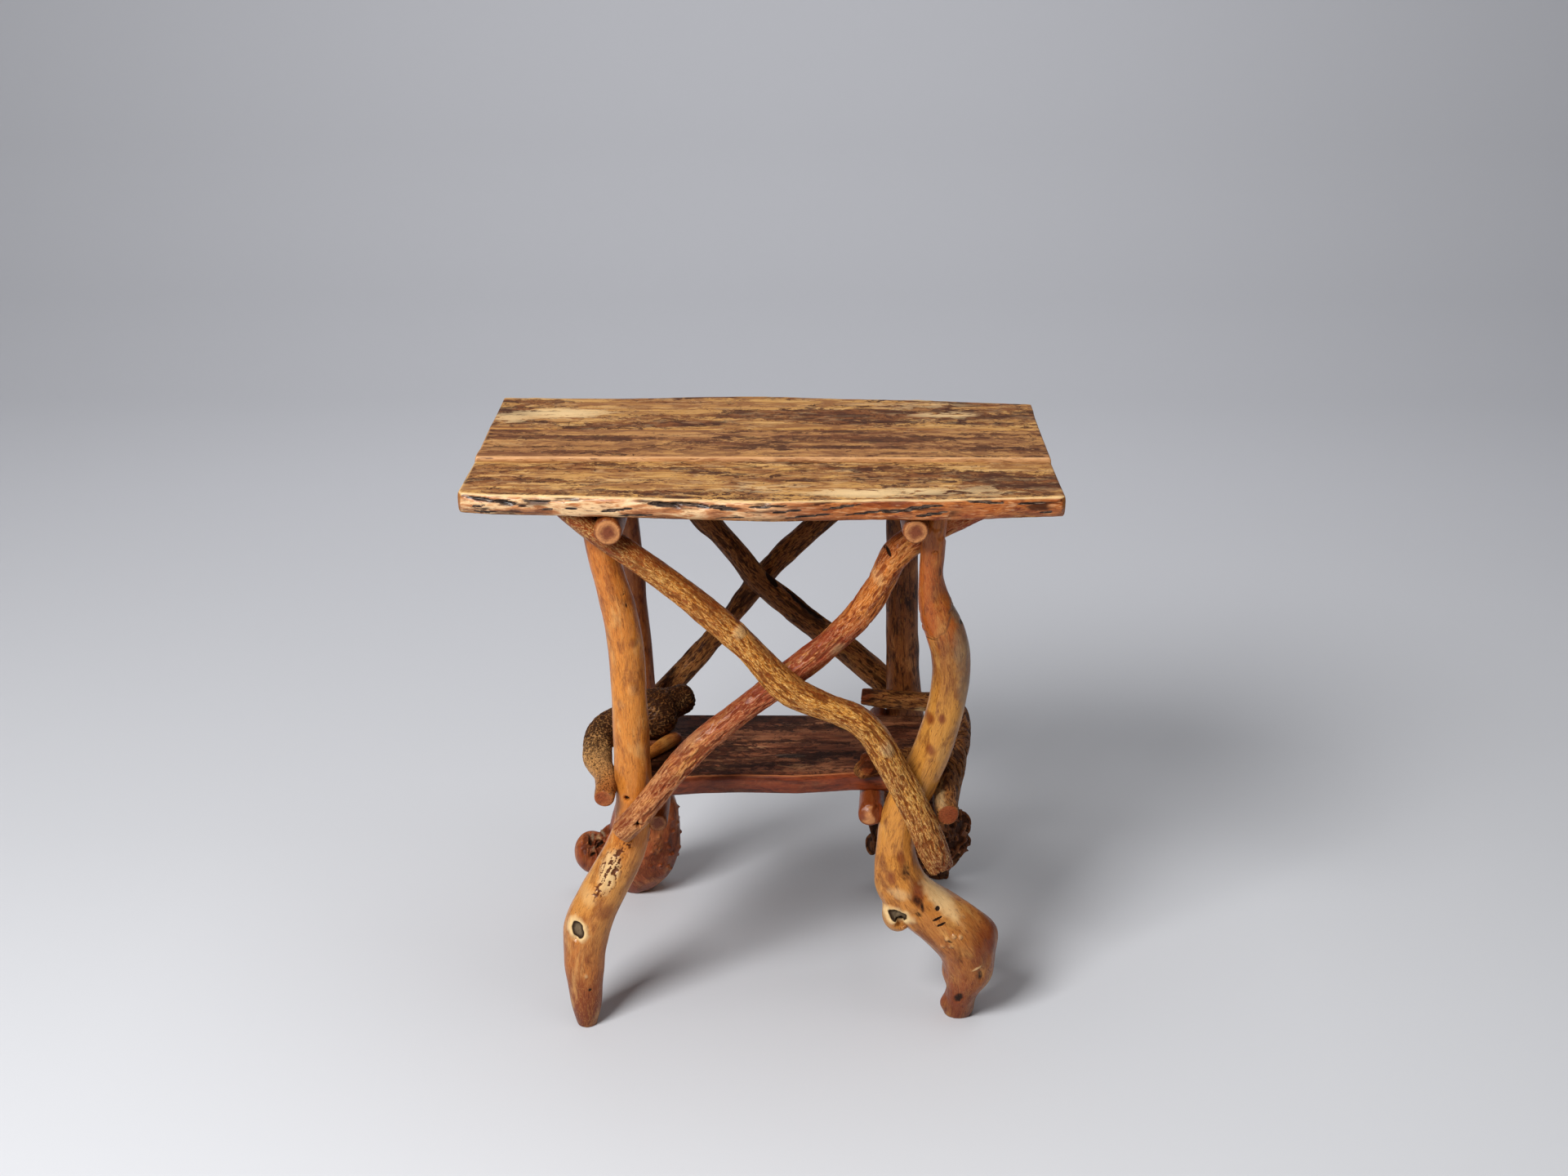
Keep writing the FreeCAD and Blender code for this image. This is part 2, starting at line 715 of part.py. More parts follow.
def shelf_board():
    outline = []
    length = shelf_right_x - shelf_left_x
    for along, out in shelf_edge_shares:
        outline.append((shelf_left_x + along * length, out * shelf_front_y, 0.0, 1.0))
    outline.append((shelf_right_x, shelf_rear_y, 0.0, 0.0))
    outline.append((shelf_left_x, shelf_rear_y, 0.0, 0.0))
    return board(outline, shelf_under_z, shelf_top_z, shelf_edge_bulge)


def over_shelf(piece, rear_y):
    """A piece scribed to the shelf's top, front and rear edges."""
    corner = Vector(shelf_left_x - fit_gap, shelf_front_y - fit_gap, shelf_under_z - fit_gap)
    wide = shelf_right_x - shelf_left_x + 2.0 * fit_gap
    deep = rear_y - shelf_front_y + 2.0 * fit_gap
    block = Part.makeBox(wide, deep, shelf_thickness + 2.0 * fit_gap, corner)
    return largest(piece.cut(block))


def bore(x, z, y_face, diameter, length):
    """A round cutter or shank that runs back from a face towards the rear."""
    corner = ring_radius(diameter / 2.0, bore_sides)
    front = ring(Vector(x, y_face, z), rearward, corner, corner, bore_sides, upward)
    back = [point + rearward * length for point in front]
    return skin([front, back])


def face_y(shape, x, z):
    """The front surface of a limb at one place seen from the front."""
    probe = Part.makeLine(Vector(x, -2.0 * half_depth, z), Vector(x, 2.0 * half_depth, z))
    return shape.common(probe).BoundBox.YMin


def screw(x, z, y_face):
    """A slotted screw at the bottom of its counterbore."""
    head_y = y_face + screw_bore_depth - screw_head_height
    head = bore(x, z, head_y, screw_head_diameter, screw_head_height - fit_gap)
    shank = bore(x, z, head_y, screw_shank_diameter, screw_length)
    slot = Part.makeBox(screw_head_diameter, slot_depth, slot_width)
    slot.translate(Vector(x - screw_head_diameter / 2.0, head_y, z - slot_width / 2.0))
    return head.fuse(shank).cut(slot).removeSplitter()


def screw_cutter(x, z, y_face):
    """The counterbore and the shank hole of one screw."""
    wide = bore(x, z, y_face - cut_overrun, screw_bore_diameter, screw_bore_depth + cut_overrun)
    narrow = bore(x, z, y_face, screw_shank_diameter + 2.0 * fit_gap, screw_bore_depth + screw_length)
    return wide.fuse(narrow)


def nail(x, z, y_face):
    """A headed nail sunk a little below the surface."""
    head = bore(x, z, y_face + nail_sink, nail_head_diameter, nail_head_height)
    shank = bore(x, z, y_face + nail_sink, nail_shank_diameter, nail_length)
    return head.fuse(shank).removeSplitter()


def nail_cutter(x, z, y_face):
    """The hole of the nail, wide at the sunk head."""
    head_depth = 2.0 * nail_sink + nail_head_height + fit_gap
    wide = bore(x, z, y_face - nail_sink, nail_hole_diameter, head_depth)
    narrow = bore(x, z, y_face, nail_shank_diameter + 2.0 * fit_gap, nail_length + nail_sink + fit_gap)
    return wide.fuse(narrow)


def knot_hole(x, z, y_face, radius, depth):
    """A taper that hollows a knot."""
    mouth = radius * knot_mouth_share
    floor = radius * knot_floor_share
    wide = ring(Vector(x, y_face - depth, z), rearward, mouth, mouth, leg_sides, upward)
    narrow = ring(Vector(x, y_face + depth, z), rearward, floor, floor, leg_sides, upward)
    return skin([wide, narrow])


def thorned(foot):
    """The left root foot with thorns on its right side."""
    rows = rear_left_foot_shares
    for turn_share, height in thorn_turn_shares:
        z = height * table_height
        for low, high in zip(rows[1:], rows):
            if low[2] * table_height <= z <= high[2] * table_height:
                part = (height - low[2]) / (high[2] - low[2])
                mixed = [a + (b - a) * part for a, b in zip(low, high)]
        turn = 2.0 * math.pi * turn_share
        centre = place(mixed)
        outward = Vector(math.cos(turn), math.sin(turn), 0.0)
        reach_x = mixed[3] * rear_left_girth
        reach_y = mixed[4] * rear_left_girth
        reach = 1.0 / math.sqrt((outward.x / reach_x) ** 2 + (outward.y / reach_y) ** 2)
        base = centre + outward * (reach - thorn_length / 2.0)
        tip = centre + outward * (reach + thorn_length / 2.0)
        thick = ring(base, outward, thorn_base_radius, thorn_base_radius, thorn_sides, upward)
        thin = ring(tip, outward, thorn_tip_radius, thorn_tip_radius, thorn_sides, upward)
        foot = foot.fuse(skin([thick, thin]))
    return largest(foot)


def lobed(foot, rows, girth):
    """A root foot with its burl lobes joined on."""
    for row in rows:
        foot = foot.fuse(lobe(row, girth, brace_sides))
    return largest(foot)


def save(name, shape):
    shape.exportStep("parts/" + name + ".step")
    print(name, "valid", shape.isValid(), "solids", len(shape.Solids), "volume", round(shape.Volume))


def front_braces(leg_fits, upper_fit):
    """The upper brace lies on both front legs, and the lower brace is scribed behind it."""
    upper = under_top(scribed(brace_upper(), leg_fits))
    lower = under_top(scribed(brace_lower(), leg_fits + [upper_fit]))
    return upper, lower


def rear_braces(leg_fits):
    """The near brace lies against both rear legs, and the far brace crosses behind it."""
    near = under_top(scribed(rear_brace_near(), leg_fits))
    far = under_top(scribed(rear_brace_far(), leg_fits + [rear_brace_near(fit_gap)]))
    return near, far


def eyed(leg):
    """The left front leg with the shallow eye of a knot in its foot."""
    x = eye_knot_shares[0] * half_length
    z = eye_knot_shares[1] * table_height
    return leg.cut(knot_hole(x, z, face_y(leg, x, z), eye_knot_radius, eye_knot_depth))


def heeled(leg):
    """The right front leg with its heel, hollowed at the knot."""
    leg = lobed(leg, front_right_lobe_shares, front_right_girth)
    x = hollow_knot_shares[0] * half_length
    z = hollow_knot_shares[1] * table_height
    return leg.cut(knot_hole(x, z, face_y(leg, x, z), knot_hole_radius, knot_hole_depth))


def build():
    leg_fl = under_top(front_left_leg())
    leg_fr = under_top(front_right_leg())
    leg_fl_fit = front_left_leg(fit_gap)
    leg_fr_fit = front_right_leg(fit_gap)
    leg_rl_fit = rear_left_leg(fit_gap)
    leg_rr_fit = rear_right_leg(fit_gap)
    upper_fit = brace_upper(fit_gap)
    lower_fit = brace_lower(fit_gap)
    near_fit = rear_brace_near(fit_gap)

    upper, lower = front_braces([leg_fl_fit, leg_fr_fit], upper_fit)
    near, far = rear_braces([leg_rl_fit, leg_rr_fit])
    leg_rl = thorned(lobed(under_top(rear_left_leg()), rear_left_lobe_shares, rear_left_girth))
    leg_rr = lobed(under_top(rear_right_leg()), rear_right_lobe_shares, rear_right_girth)

    # The side stretchers lie on the shelf and against the legs
    rail_l = over_shelf(scribed(left_stretcher(), [leg_fl_fit, leg_rl_fit]), shelf_rear_y)
    rail_r = over_shelf(scribed(right_stretcher(), [leg_fr_fit, leg_rr_fit, upper_fit]), shelf_rear_y)
    pin = over_shelf(scribed(peg(), [leg_fl_fit, left_stretcher(fit_gap)]), shelf_rear_y)

    # Screws through the left leg into the shelf, and through the lower brace into the leg
    shelf_screw_x = shelf_screw_share * half_length
    shelf_screw_z = shelf_top_z - shelf_screw_drop
    brace_screw_x = brace_screw_shares[0] * half_length
    brace_screw_z = brace_screw_shares[1] * table_height
    nail_x = nail_shares[0] * half_length
    nail_z = nail_shares[1] * table_height
    shelf_screw_y = face_y(leg_fl, shelf_screw_x, shelf_screw_z)
    brace_screw_y = face_y(lower, brace_screw_x, brace_screw_z)
    nail_y = face_y(leg_fr, nail_x, nail_z)
    shelf_cut = screw_cutter(shelf_screw_x, shelf_screw_z, shelf_screw_y)
    brace_cut = screw_cutter(brace_screw_x, brace_screw_z, brace_screw_y)
    nail_cut = nail_cutter(nail_x, nail_z, nail_y)
    shelf = scribed(shelf_board(), [leg_fl_fit, leg_fr_fit])
    screws = [
        screw(shelf_screw_x, shelf_screw_z, shelf_screw_y),
        screw(brace_screw_x, brace_screw_z, brace_screw_y),
    ]

    top_l = top_bearer(left_top_bearer_shares, left_top_bearer_radius,
                       [leg_fl_fit, leg_rl_fit, upper_fit, near_fit])
    top_r = top_bearer(right_top_bearer_shares, right_top_bearer_radius,
                       [leg_fr_fit, leg_rr_fit, lower_fit])
    low_l = shelf_bearer(left_shelf_bearer_shares, left_shelf_bearer_droop,
                         left_shelf_bearer_nose_share, [leg_fl_fit, leg_rl_fit, lower_fit])
    low_r = shelf_bearer(right_shelf_bearer_shares, right_shelf_bearer_droop,
                         right_shelf_bearer_nose_share, [leg_fr_fit, leg_rr_fit])

    save("top_board_front", front_board())
    save("top_board_middle", middle_board())
    save("top_board_rear", rear_board())
    save("top_bearer_left", top_l)
    save("top_bearer_right", top_r)
    save("leg_front_left", eyed(leg_fl.cut(shelf_cut).cut(brace_cut)))
    save("leg_front_right", heeled(leg_fr.cut(nail_cut)))
    save("leg_rear_left", leg_rl)
    save("leg_rear_right", leg_rr)
    save("brace_front_upper", upper)
    save("brace_front_lower", lower.cut(brace_cut).cut(nail_cut))
    save("brace_rear_near", near)
    save("brace_rear_far", far)
    save("stretcher_left", rail_l)
    save("stretcher_right", rail_r)
    save("shelf_board", shelf.cut(shelf_cut))
    save("shelf_bearer_left", low_l)
    save("shelf_bearer_right", low_r)
    save("shelf_peg", pin)
    save("wood_screws", Part.makeCompound(screws))
    save("bearer_nail", nail(nail_x, nail_z, nail_y))


build()
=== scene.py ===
# %% [markdown]
# # A rustic table of limbs and planks
# The real table is three waxed planks on bent, peeled limbs. The solids give every
# piece its place and girth. Here each piece gets a skin with real relief, and a finish
# whose pattern follows the limb as it bends.

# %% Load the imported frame
import math
import bmesh
import bpy
import numpy as np
from mathutils import Euler, Matrix, Vector


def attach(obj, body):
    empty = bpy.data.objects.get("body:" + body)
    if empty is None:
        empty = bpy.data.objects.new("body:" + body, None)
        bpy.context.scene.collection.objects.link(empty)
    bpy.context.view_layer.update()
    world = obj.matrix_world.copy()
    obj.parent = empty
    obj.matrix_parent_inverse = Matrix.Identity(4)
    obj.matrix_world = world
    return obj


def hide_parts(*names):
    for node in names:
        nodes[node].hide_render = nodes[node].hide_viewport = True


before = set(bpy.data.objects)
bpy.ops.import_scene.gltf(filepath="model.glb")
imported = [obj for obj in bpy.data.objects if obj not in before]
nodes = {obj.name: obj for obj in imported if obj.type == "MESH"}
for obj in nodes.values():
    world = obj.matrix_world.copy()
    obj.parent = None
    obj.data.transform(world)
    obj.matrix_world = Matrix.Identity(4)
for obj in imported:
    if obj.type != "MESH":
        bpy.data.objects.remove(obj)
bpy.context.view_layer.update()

# %% [markdown]
# ## A skin for every limb
# A peeled limb is round, a little lumpy, and crisp only where a saw cut it. The solid
# is a bundle of flat facets, so its copy is welded, rounded with a subdivision surface
# that keeps sharp edges creased, and given even small quads with a voxel remesh. Those
# quads are what the relief is pushed into afterwards.

# %% Weld, round and remesh a copy of a solid
sharp_turn = math.radians(50)


def skin_of(node, quad, rounding, soften):
    body = bmesh.new()
    body.from_mesh(nodes[node].data)
    bmesh.ops.remove_doubles(body, verts=body.verts, dist=0.00002)
    crease = body.edges.layers.float.new("crease_edge")
    for edge in body.edges:
        if edge.is_manifold and edge.calc_face_angle() > sharp_turn:
            edge[crease] = 1.0
    mesh = bpy.data.meshes.new(node + "_skin")
    body.to_mesh(mesh)
    body.free()
    look = bpy.data.objects.new(node + "_skin", mesh)
    bpy.context.scene.collection.objects.link(look)
    if rounding:
        round_off = look.modifiers.new("round", "SUBSURF")
        round_off.levels = round_off.render_levels = rounding
    remesh = look.modifiers.new("remesh", "REMESH")
    remesh.mode = "VOXEL"
    remesh.voxel_size = quad
    remesh.use_smooth_shade = True
    smooth = look.modifiers.new("soften", "SMOOTH")
    smooth.factor = 0.5
    smooth.iterations = soften
    look.data = bpy.data.meshes.new_from_object(
        look.evaluated_get(bpy.context.evaluated_depsgraph_get()))
    look.modifiers.clear()
    look.data.name = node + "_skin"
    return look


# %% [markdown]
# ## Noise that repeats
# The relief needs a bumpy field that is the same on every run. This is plain lattice
# noise: a fixed number at each corner of a grid, blended smoothly between corners. The
# grid can be stretched, so the bumps can run along the wood.

# %% Lattice noise on arrays of places
mixers = (73856093, 19349663, 83492791)  # large primes, so that near corners differ
seed_mixer = 6542989
last_mixer = 1274126177
last_key = 65535


def corner_value(cell, seed):
    key = cell[:, 0] * mixers[0] ^ cell[:, 1] * mixers[1] ^ cell[:, 2] * mixers[2]
    key = (key ^ seed * seed_mixer) * last_mixer
    key = (key ^ (key >> 15)) & last_key
    return key / (last_key / 2) - 1.0


def bumps(places, size, seed):
    spot = places / np.array(size)
    cell = np.floor(spot).astype(np.int64)
    part = spot - cell
    part = part * part * (3.0 - 2.0 * part)
    total = np.zeros(len(places))
    for corner in range(8):
        step = np.array([corner & 1, corner >> 1 & 1, corner >> 2 & 1])
        weight = np.where(step, part, 1.0 - part).prod(axis=1)
        total += weight * corner_value(cell + step, seed)
    return total


def step_up(value, low, high):
    part = np.clip((value - low) / (high - low), 0.0, 1.0)
    return part * part * (3.0 - 2.0 * part)


# %% [markdown]
# ## Coordinates that follow the wood
# Bark and grain run along a limb, also round its bends. So each vertex is told where it
# is along the limb's own middle line, and where it is across it. The middle line is read
# off the skin: the mean place of each thin slice. The three numbers are kept in an
# attribute called grain, and the share of the way along in one called along.

# %% Middle line and grain coordinates
def read(look, field):
    flat = np.empty(len(look.data.vertices) * 3)
    look.data.vertices.foreach_get(field, flat)
    return flat.reshape(-1, 3)


def grain_of(points, toward, slices, upright):
    axis = np.array(toward, float)
    axis /= np.linalg.norm(axis)
    reach = points @ axis
    cuts = np.linspace(reach.min(), reach.max(), slices + 1)
    which = np.clip(np.digitize(reach, cuts) - 1, 0, slices - 1)
    middle = np.array([points[which == k].mean(0) for k in range(slices)])
    middle = np.vstack([2 * middle[0] - middle[1], middle, 2 * middle[-1] - middle[-2]])
    middle[1:-1] = (middle[:-2] + 2 * middle[1:-1] + middle[2:]) / 4
    marks = middle @ axis
    length = np.concatenate([[0.0], np.cumsum(np.linalg.norm(np.diff(middle, axis=0), axis=1))])
    heading = np.gradient(middle, axis=0)
    heading /= np.linalg.norm(heading, axis=1)[:, None]

    def blend(column):
        return np.interp(reach, marks, column)

    centre = np.stack([blend(middle[:, k]) for k in range(3)], axis=1)
    tangent = np.stack([blend(heading[:, k]) for k in range(3)], axis=1)
    tangent /= np.linalg.norm(tangent, axis=1)[:, None]
    across = np.array(upright, float) - tangent * (tangent @ np.array(upright, float))[:, None]
    across /= np.linalg.norm(across, axis=1)[:, None]
    beside = np.cross(tangent, across)
    offset = points - centre
    along = blend(length) + (offset * tangent).sum(1)
    grain = np.stack([(offset * across).sum(1), (offset * beside).sum(1), along], axis=1)
    return grain, (along - along.min()) / (along.max() - along.min()), tangent


# %% Write attributes and vertex places back
def keep_attribute(look, name, kind, values):
    made = look.data.attributes.new(name, kind, "POINT")
    field = {"FLOAT": "value", "FLOAT_VECTOR": "vector", "FLOAT_COLOR": "color"}[kind]
    made.data.foreach_set(field, np.ascontiguousarray(values, np.float32).ravel())


def write_points(look, points):
    look.data.vertices.foreach_set("co", points.ravel())
    look.data.update()


# %% [markdown]
# ## Pushing the wood about
# A branch is never an even tube. Like a grab brush, each push moves the skin inside a
# ball, most at its middle. Rows hold the ball's middle and radius, then how far the
# skin goes right, back, up and outwards, all in millimetres.

# %% Grab and swell
def sculpt(points, normals, pushes):
    for x, y, z, radius, right, back, up, swell in pushes:
        away = np.linalg.norm(points * 1000 - (x, y, z), axis=1)
        share = np.clip(1.0 - (away / radius) ** 2, 0.0, 1.0)[:, None] ** 2
        points = points + share * (np.array([right, back, up]) + normals * swell) / 1000
    return points


# %% [markdown]
# ## Marks placed one by one
# Knots, scars, worn places and cracks are placed one by one, and so are a few painted
# highlights and bands of painted shade. Each mark is an oval on the side of a limb that
# faces the front. It can raise or sink the wood, and it can darken it, make it pale, redden
# it or turn it grey. Lengths are in millimetres, in the order x, z, half width, half
# height, turn, lift, strength. A ledge is a raised, redder area with a crisp border, as
# where thick bark ends. A worm mark brings out the pattern of grooves from the next step.

# %% Listed marks
channels = {"dark": 0, "pale": 1, "red": 2, "grey": 3, "worm": 4, "ledge": 2}


def oval(points, x, z, wide, tall, turn):
    """How far out of an oval each point lies: 0 in its middle and 1 on its border."""
    right = points[:, 0] * 1000 - x
    up = points[:, 2] * 1000 - z
    lean = math.radians(turn)
    main = right * math.cos(lean) + up * math.sin(lean)
    side = up * math.cos(lean) - right * math.sin(lean)
    return (main / wide) ** 2 + (side / tall) ** 2


def stamp(points, normals, marks):
    rise = np.zeros(len(points))
    paint = np.zeros((len(points), 5))
    ragged = 1.0 + bumps(points, (0.005, 0.005, 0.005), 77) * 0.3
    faces_front = step_up(-normals[:, 1], -0.35, 0.1)
    for kind, x, z, wide, tall, turn, lift, strength in marks:
        near = np.clip(1.0 - oval(points, x, z, wide, tall, turn) * ragged, 0.0, 1.0)
        near = step_up(near * faces_front, 0.0, 1.0)
        if kind == "ledge":
            near = step_up(near, 0.0, 0.08)
        rise += near * lift / 1000
        channel = channels[kind]
        paint[:, channel] = np.maximum(paint[:, channel], near * strength)
    print("stamped", len(marks), "marks, lift", rise.min().round(4), "to", rise.max().round(4), "m")
    return rise, paint


def knot(x, z, wide, tall, turn, lip, depth):
    """A healed knot: a pale raised lip round a sunken eye with a dark rim."""
    return [("pale", x, z, wide * 2.0, tall * 1.7, turn, lip, 1.6),
            ("dark", x, z, wide * 1.15, tall * 1.15, turn, -lip - depth, 1.5),
            ("grey", x, z, wide * 0.9, tall * 0.9, turn, 0, 1.0)]


# %% [markdown]
# ## Grooves left by bark
# Where bark was scraped off, short dark grooves run with the grain. They are the high
# parts of a noise that is stretched along the limb. On the burls the opposite shows:
# thin pale ridges meet in a net round dark pits, and such a net is where a noise passes
# through zero. A list of shares says where along the limb the pattern is strong.

# %% Bark grooves
def grooves_of(grain, pattern, across, length, seed):
    wander = bumps(grain, (across * 3, across * 3, length), seed + 5)[:, None]
    bent = grain + wander * np.array([across * 0.6, across * 0.6, 0.0])
    field = bumps(bent, (across, across, length), seed)
    if pattern == "pits":
        return step_up(np.abs(field), 0.08, 0.34)
    if pattern == "lines":
        return 1.0 - step_up(np.abs(field), 0.05, 0.22)
    return step_up(field, 0.08, 0.5)


# %% [markdown]
# ## Shader sums written as sums
# A finish is easier to read when a mask is written as 1 - mask, so one small class wraps
# a socket and turns the usual signs into Math nodes. A second class makes any other node
# from its type, its settings and its sockets.

# %% Socket sums and the node maker
class Wire:
    def __init__(self, finish, socket):
        self.finish = finish
        self.socket = socket

    def maths(self, operation, *values):
        return self.finish.node("ShaderNodeMath", {"operation": operation}, dict(enumerate(values)))

    def __add__(self, other):
        return self.maths("ADD", self, other)

    def __sub__(self, other):
        return self.maths("SUBTRACT", self, other)

    def __rsub__(self, other):
        return self.maths("SUBTRACT", other, self)

    def __mul__(self, other):
        return self.maths("MULTIPLY", self, other)

    def __truediv__(self, other):
        return self.maths("DIVIDE", self, other)

    def __abs__(self):
        return self.maths("ABSOLUTE", self)

    def sine(self):
        return self.maths("SINE", self)


# Places of the outputs of the Attribute node, and of one output of Texture Coordinate
as_colour, as_vector, as_number, as_alpha = range(4)
object_place = 3
# Depth of the finest relief, in metres, which is bump only
limb_bump = 0.0012
board_bump = 0.0005


class Finish:
    def __init__(self, name):
        self.material = bpy.data.materials.new(name)
        self.material.use_nodes = True
        self.tree = self.material.node_tree
        self.tree.nodes.clear()

    def node(self, kind, settings, sockets, out=0):
        made = self.tree.nodes.new(kind)
        for name, value in settings.items():
            if name == "stops":
                ramp = made.color_ramp.elements
                ramp.remove(ramp[1])
                ramp[0].position, ramp[0].color = value[0]
                for place, colour in value[1:]:
                    ramp.new(place).color = colour
            else:
                setattr(made, name, value)
        for name, value in sockets.items():
            if isinstance(value, Wire):
                self.tree.links.new(value.socket, made.inputs[name])
            else:
                made.inputs[name].default_value = value
        return Wire(self, made.outputs[out]) if made.outputs else made

    def split(self, kind, value):
        """All outputs of a node that takes a colour or a vector apart."""
        first = self.node(kind, {}, {0: value})
        return [Wire(self, socket) for socket in first.socket.node.outputs]

    def attribute(self, name, out):
        return self.node("ShaderNodeAttribute", {"attribute_name": name}, {}, out)

    def stretch(self, place, scale):
        return self.node("ShaderNodeVectorMath", {"operation": "MULTIPLY"}, {0: place, 1: scale})

    def noise(self, place, scale, detail=3.0, rough=0.55, warp=0.0):
        sockets = {"Vector": self.stretch(place, scale), "Scale": 1.0, "Detail": detail,
                   "Roughness": rough, "Distortion": warp}
        return self.node("ShaderNodeTexNoise", {}, sockets)

    def mask(self, value, low, high):
        sockets = {"Value": value, "From Min": low, "From Max": high}
        return self.node("ShaderNodeMapRange", {"interpolation_type": "SMOOTHSTEP"}, sockets)

    def blend(self, share, under, over):
        """A colour mix. On the Mix node, colours go in at 6 and 7 and come out at 2."""
        return self.node("ShaderNodeMix", {"data_type": "RGBA"}, {0: share, 6: under, 7: over}, 2)

    def shine(self, colour, roughness, coat, coat_roughness, height, depth):
        """The wood itself reflects little, so that most of the shine is the varnish coat."""
        bump = self.node("ShaderNodeBump", {}, {"Distance": depth, "Height": height})
        sockets = {"Base Color": colour, "Roughness": roughness, "Specular IOR Level": 0.12,
                   "Coat Weight": coat, "Coat Roughness": coat_roughness, "Normal": bump}
        wood = self.node("ShaderNodeBsdfPrincipled", {}, sockets)
        self.node("ShaderNodeOutputMaterial", {}, {"Surface": wood})
        return self.material


def tint(red, green, blue):
    """A colour as the eye reads it on a screen, turned into the plain light that nodes use."""
    parts = []
    for part in (red, green, blue):
        part = part / 255
        parts.append(part / 12.92 if part <= 0.04045 else ((part + 0.055) / 1.055) ** 2.4)
    return (*parts, 1.0)


# %% [markdown]
# ## The finish of a limb
# A varnished limb has a main colour that drifts along its length, soft mottling, and
# flecks of old bark that lie along the grain. One noise gives both flecks and threads:
# far from its middle value lie dark flecks, and close to it run thin bright lines, pale
# veins of the bark made paler still as painted highlights.
# Grooves stay dark. The same steps make every limb, with other colours and flecks.
#
# A sawn end is made first. Its rings are a sine of the distance from the pith.

# %% Sawn end
def sawn_end(finish, grain, core, rim):
    flat = finish.stretch(grain, (1, 1, 0))
    radius = finish.node("ShaderNodeVectorMath", {"operation": "LENGTH"}, {0: flat}, 1)
    ring = (radius * 2000 + finish.noise(grain, (90, 90, 0), 3) * 9).sine() * 0.5 + 0.5
    edge = finish.noise(grain, (90, 90, 0), 5, 0.65) * 0.016
    face = finish.blend(finish.mask(radius + edge, 0.013, 0.022), core, rim)
    face = finish.blend(ring * 0.12, face, tint(80, 38, 18))
    crumble = finish.noise(grain, (380, 380, 40), 5, 0.65)
    return finish.blend(finish.mask(crumble, 0.52, 0.66) * 0.45, face, tint(92, 46, 22))


# %% Limb finish
def limb_finish(name, tones, cloudy, flecks, ridge, end, gloss):
    finish = Finish(name)
    grain = finish.attribute("grain", as_vector)
    along = finish.attribute("along", as_number)
    groove = finish.attribute("groove", as_number)
    cut = finish.attribute("cut", as_number)
    dark, pale, red = finish.split("ShaderNodeSeparateColor", finish.attribute("paint", as_colour))
    grey = finish.attribute("paint", as_alpha)

    drift = finish.noise(grain, (26, 26, 11), 3)
    colour = finish.node("ShaderNodeValToRGB", {"stops": tones}, {0: along + (drift - 0.5) * 0.22})
    deep, deep_share, bright, bright_share = cloudy
    cloud = finish.noise(grain, (60, 60, 22), 6, 0.68, 0.5)
    colour = finish.blend(finish.mask(cloud, 0.47, 0.62) * deep_share, colour, deep)
    glow = finish.noise(grain, (44, 44, 16), 5, 0.62, 0.3)
    colour = finish.blend(finish.mask(glow, 0.5, 0.7) * bright_share, colour, bright)
    fine = finish.noise(grain, (900, 900, 90), 4, 0.65)
    colour = finish.blend(finish.mask(fine, 0.42, 0.75) * 0.42, colour, tint(96, 46, 15))
    colour = finish.blend(finish.mask(fine, 0.46, 0.25) * 0.25, colour, tint(232, 168, 74))
    pore = finish.noise(grain, (520, 520, 300), 2)
    colour = finish.blend(finish.mask(pore, 0.69, 0.75) * 0.8, colour, tint(66, 29, 10))

    fleck_colour, across, lengthwise, cover, fleck_share = flecks
    net = finish.noise(grain, (across, across, lengthwise), 3, 0.6, 0.6)
    apart = abs(net - 0.5)
    fleck = finish.mask(apart, cover, cover + 0.06) * fleck_share
    colour = finish.blend(fleck, colour, fleck_colour)
    vein_and_highlight_colour, thread_share, groove_share = ridge
    # Thin pale veins, made paler still as painted highlights on the ridges
    vein_and_highlight = finish.mask(apart, 0.035, 0.008) * thread_share
    colour = finish.blend(vein_and_highlight, colour, vein_and_highlight_colour)

    # The red channel reddens bark, ledges and spots, and also paints shade on sides that face up
    colour = finish.blend(red * 0.85, colour, tint(120, 50, 19))
    # The pale channel lightens knot lips, pale bark and worn places, and also paints the highlights given
    # as marks
    pale_paint = pale * (finish.noise(grain, (260, 260, 120), 4) * 0.8 + 0.45)
    colour = finish.blend(pale_paint, colour, tint(238, 200, 142))
    colour = finish.blend(finish.mask(groove, 0.15, 0.8) * groove_share, colour, fleck_colour)
    rough_edge = finish.noise(grain, (320, 320, 160), 5)
    crack = finish.mask(dark + (rough_edge - 0.5) * 0.4, 0.2, 0.5)
    colour = finish.blend(crack, colour, tint(40, 21, 10))
    stain = finish.blend(rough_edge, tint(92, 72, 52), tint(172, 150, 118))
    colour = finish.blend(grey * 0.75, colour, stain)
    colour = finish.blend(cut * 0.9, colour, sawn_end(finish, grain, *end))

    matt, coat_share, coat_roughness = gloss
    height = fine * 0.3 - fleck * 0.7 + vein_and_highlight * 0.4 + glow * 0.5 - dark * rough_edge * 2.0
    roughness = fleck * 0.15 + dark * 0.25 + (0.36 + matt)
    coat = coat_share - dark * 0.5 - groove * 0.3
    return finish.shine(colour, roughness, coat, coat_roughness, height, limb_bump)


# %% [markdown]
# ## Eight limb colours
# Every limb gets its colours from the top or left end to the other one. Then come the
# dark and the bright mottling, each with its share. The flecks have a colour, a scale
# across and one along the grain, the distance where they begin, and a share. The threads,
# pale veins that also carry painted highlights, follow with the share of the grooves, then
# the middle and rim of a sawn end, and last the extra roughness, the coat and the coat's
# roughness.

# %% Colours of the limbs
def stops(*rows):
    return [(place, tint(*colour)) for place, colour in rows]


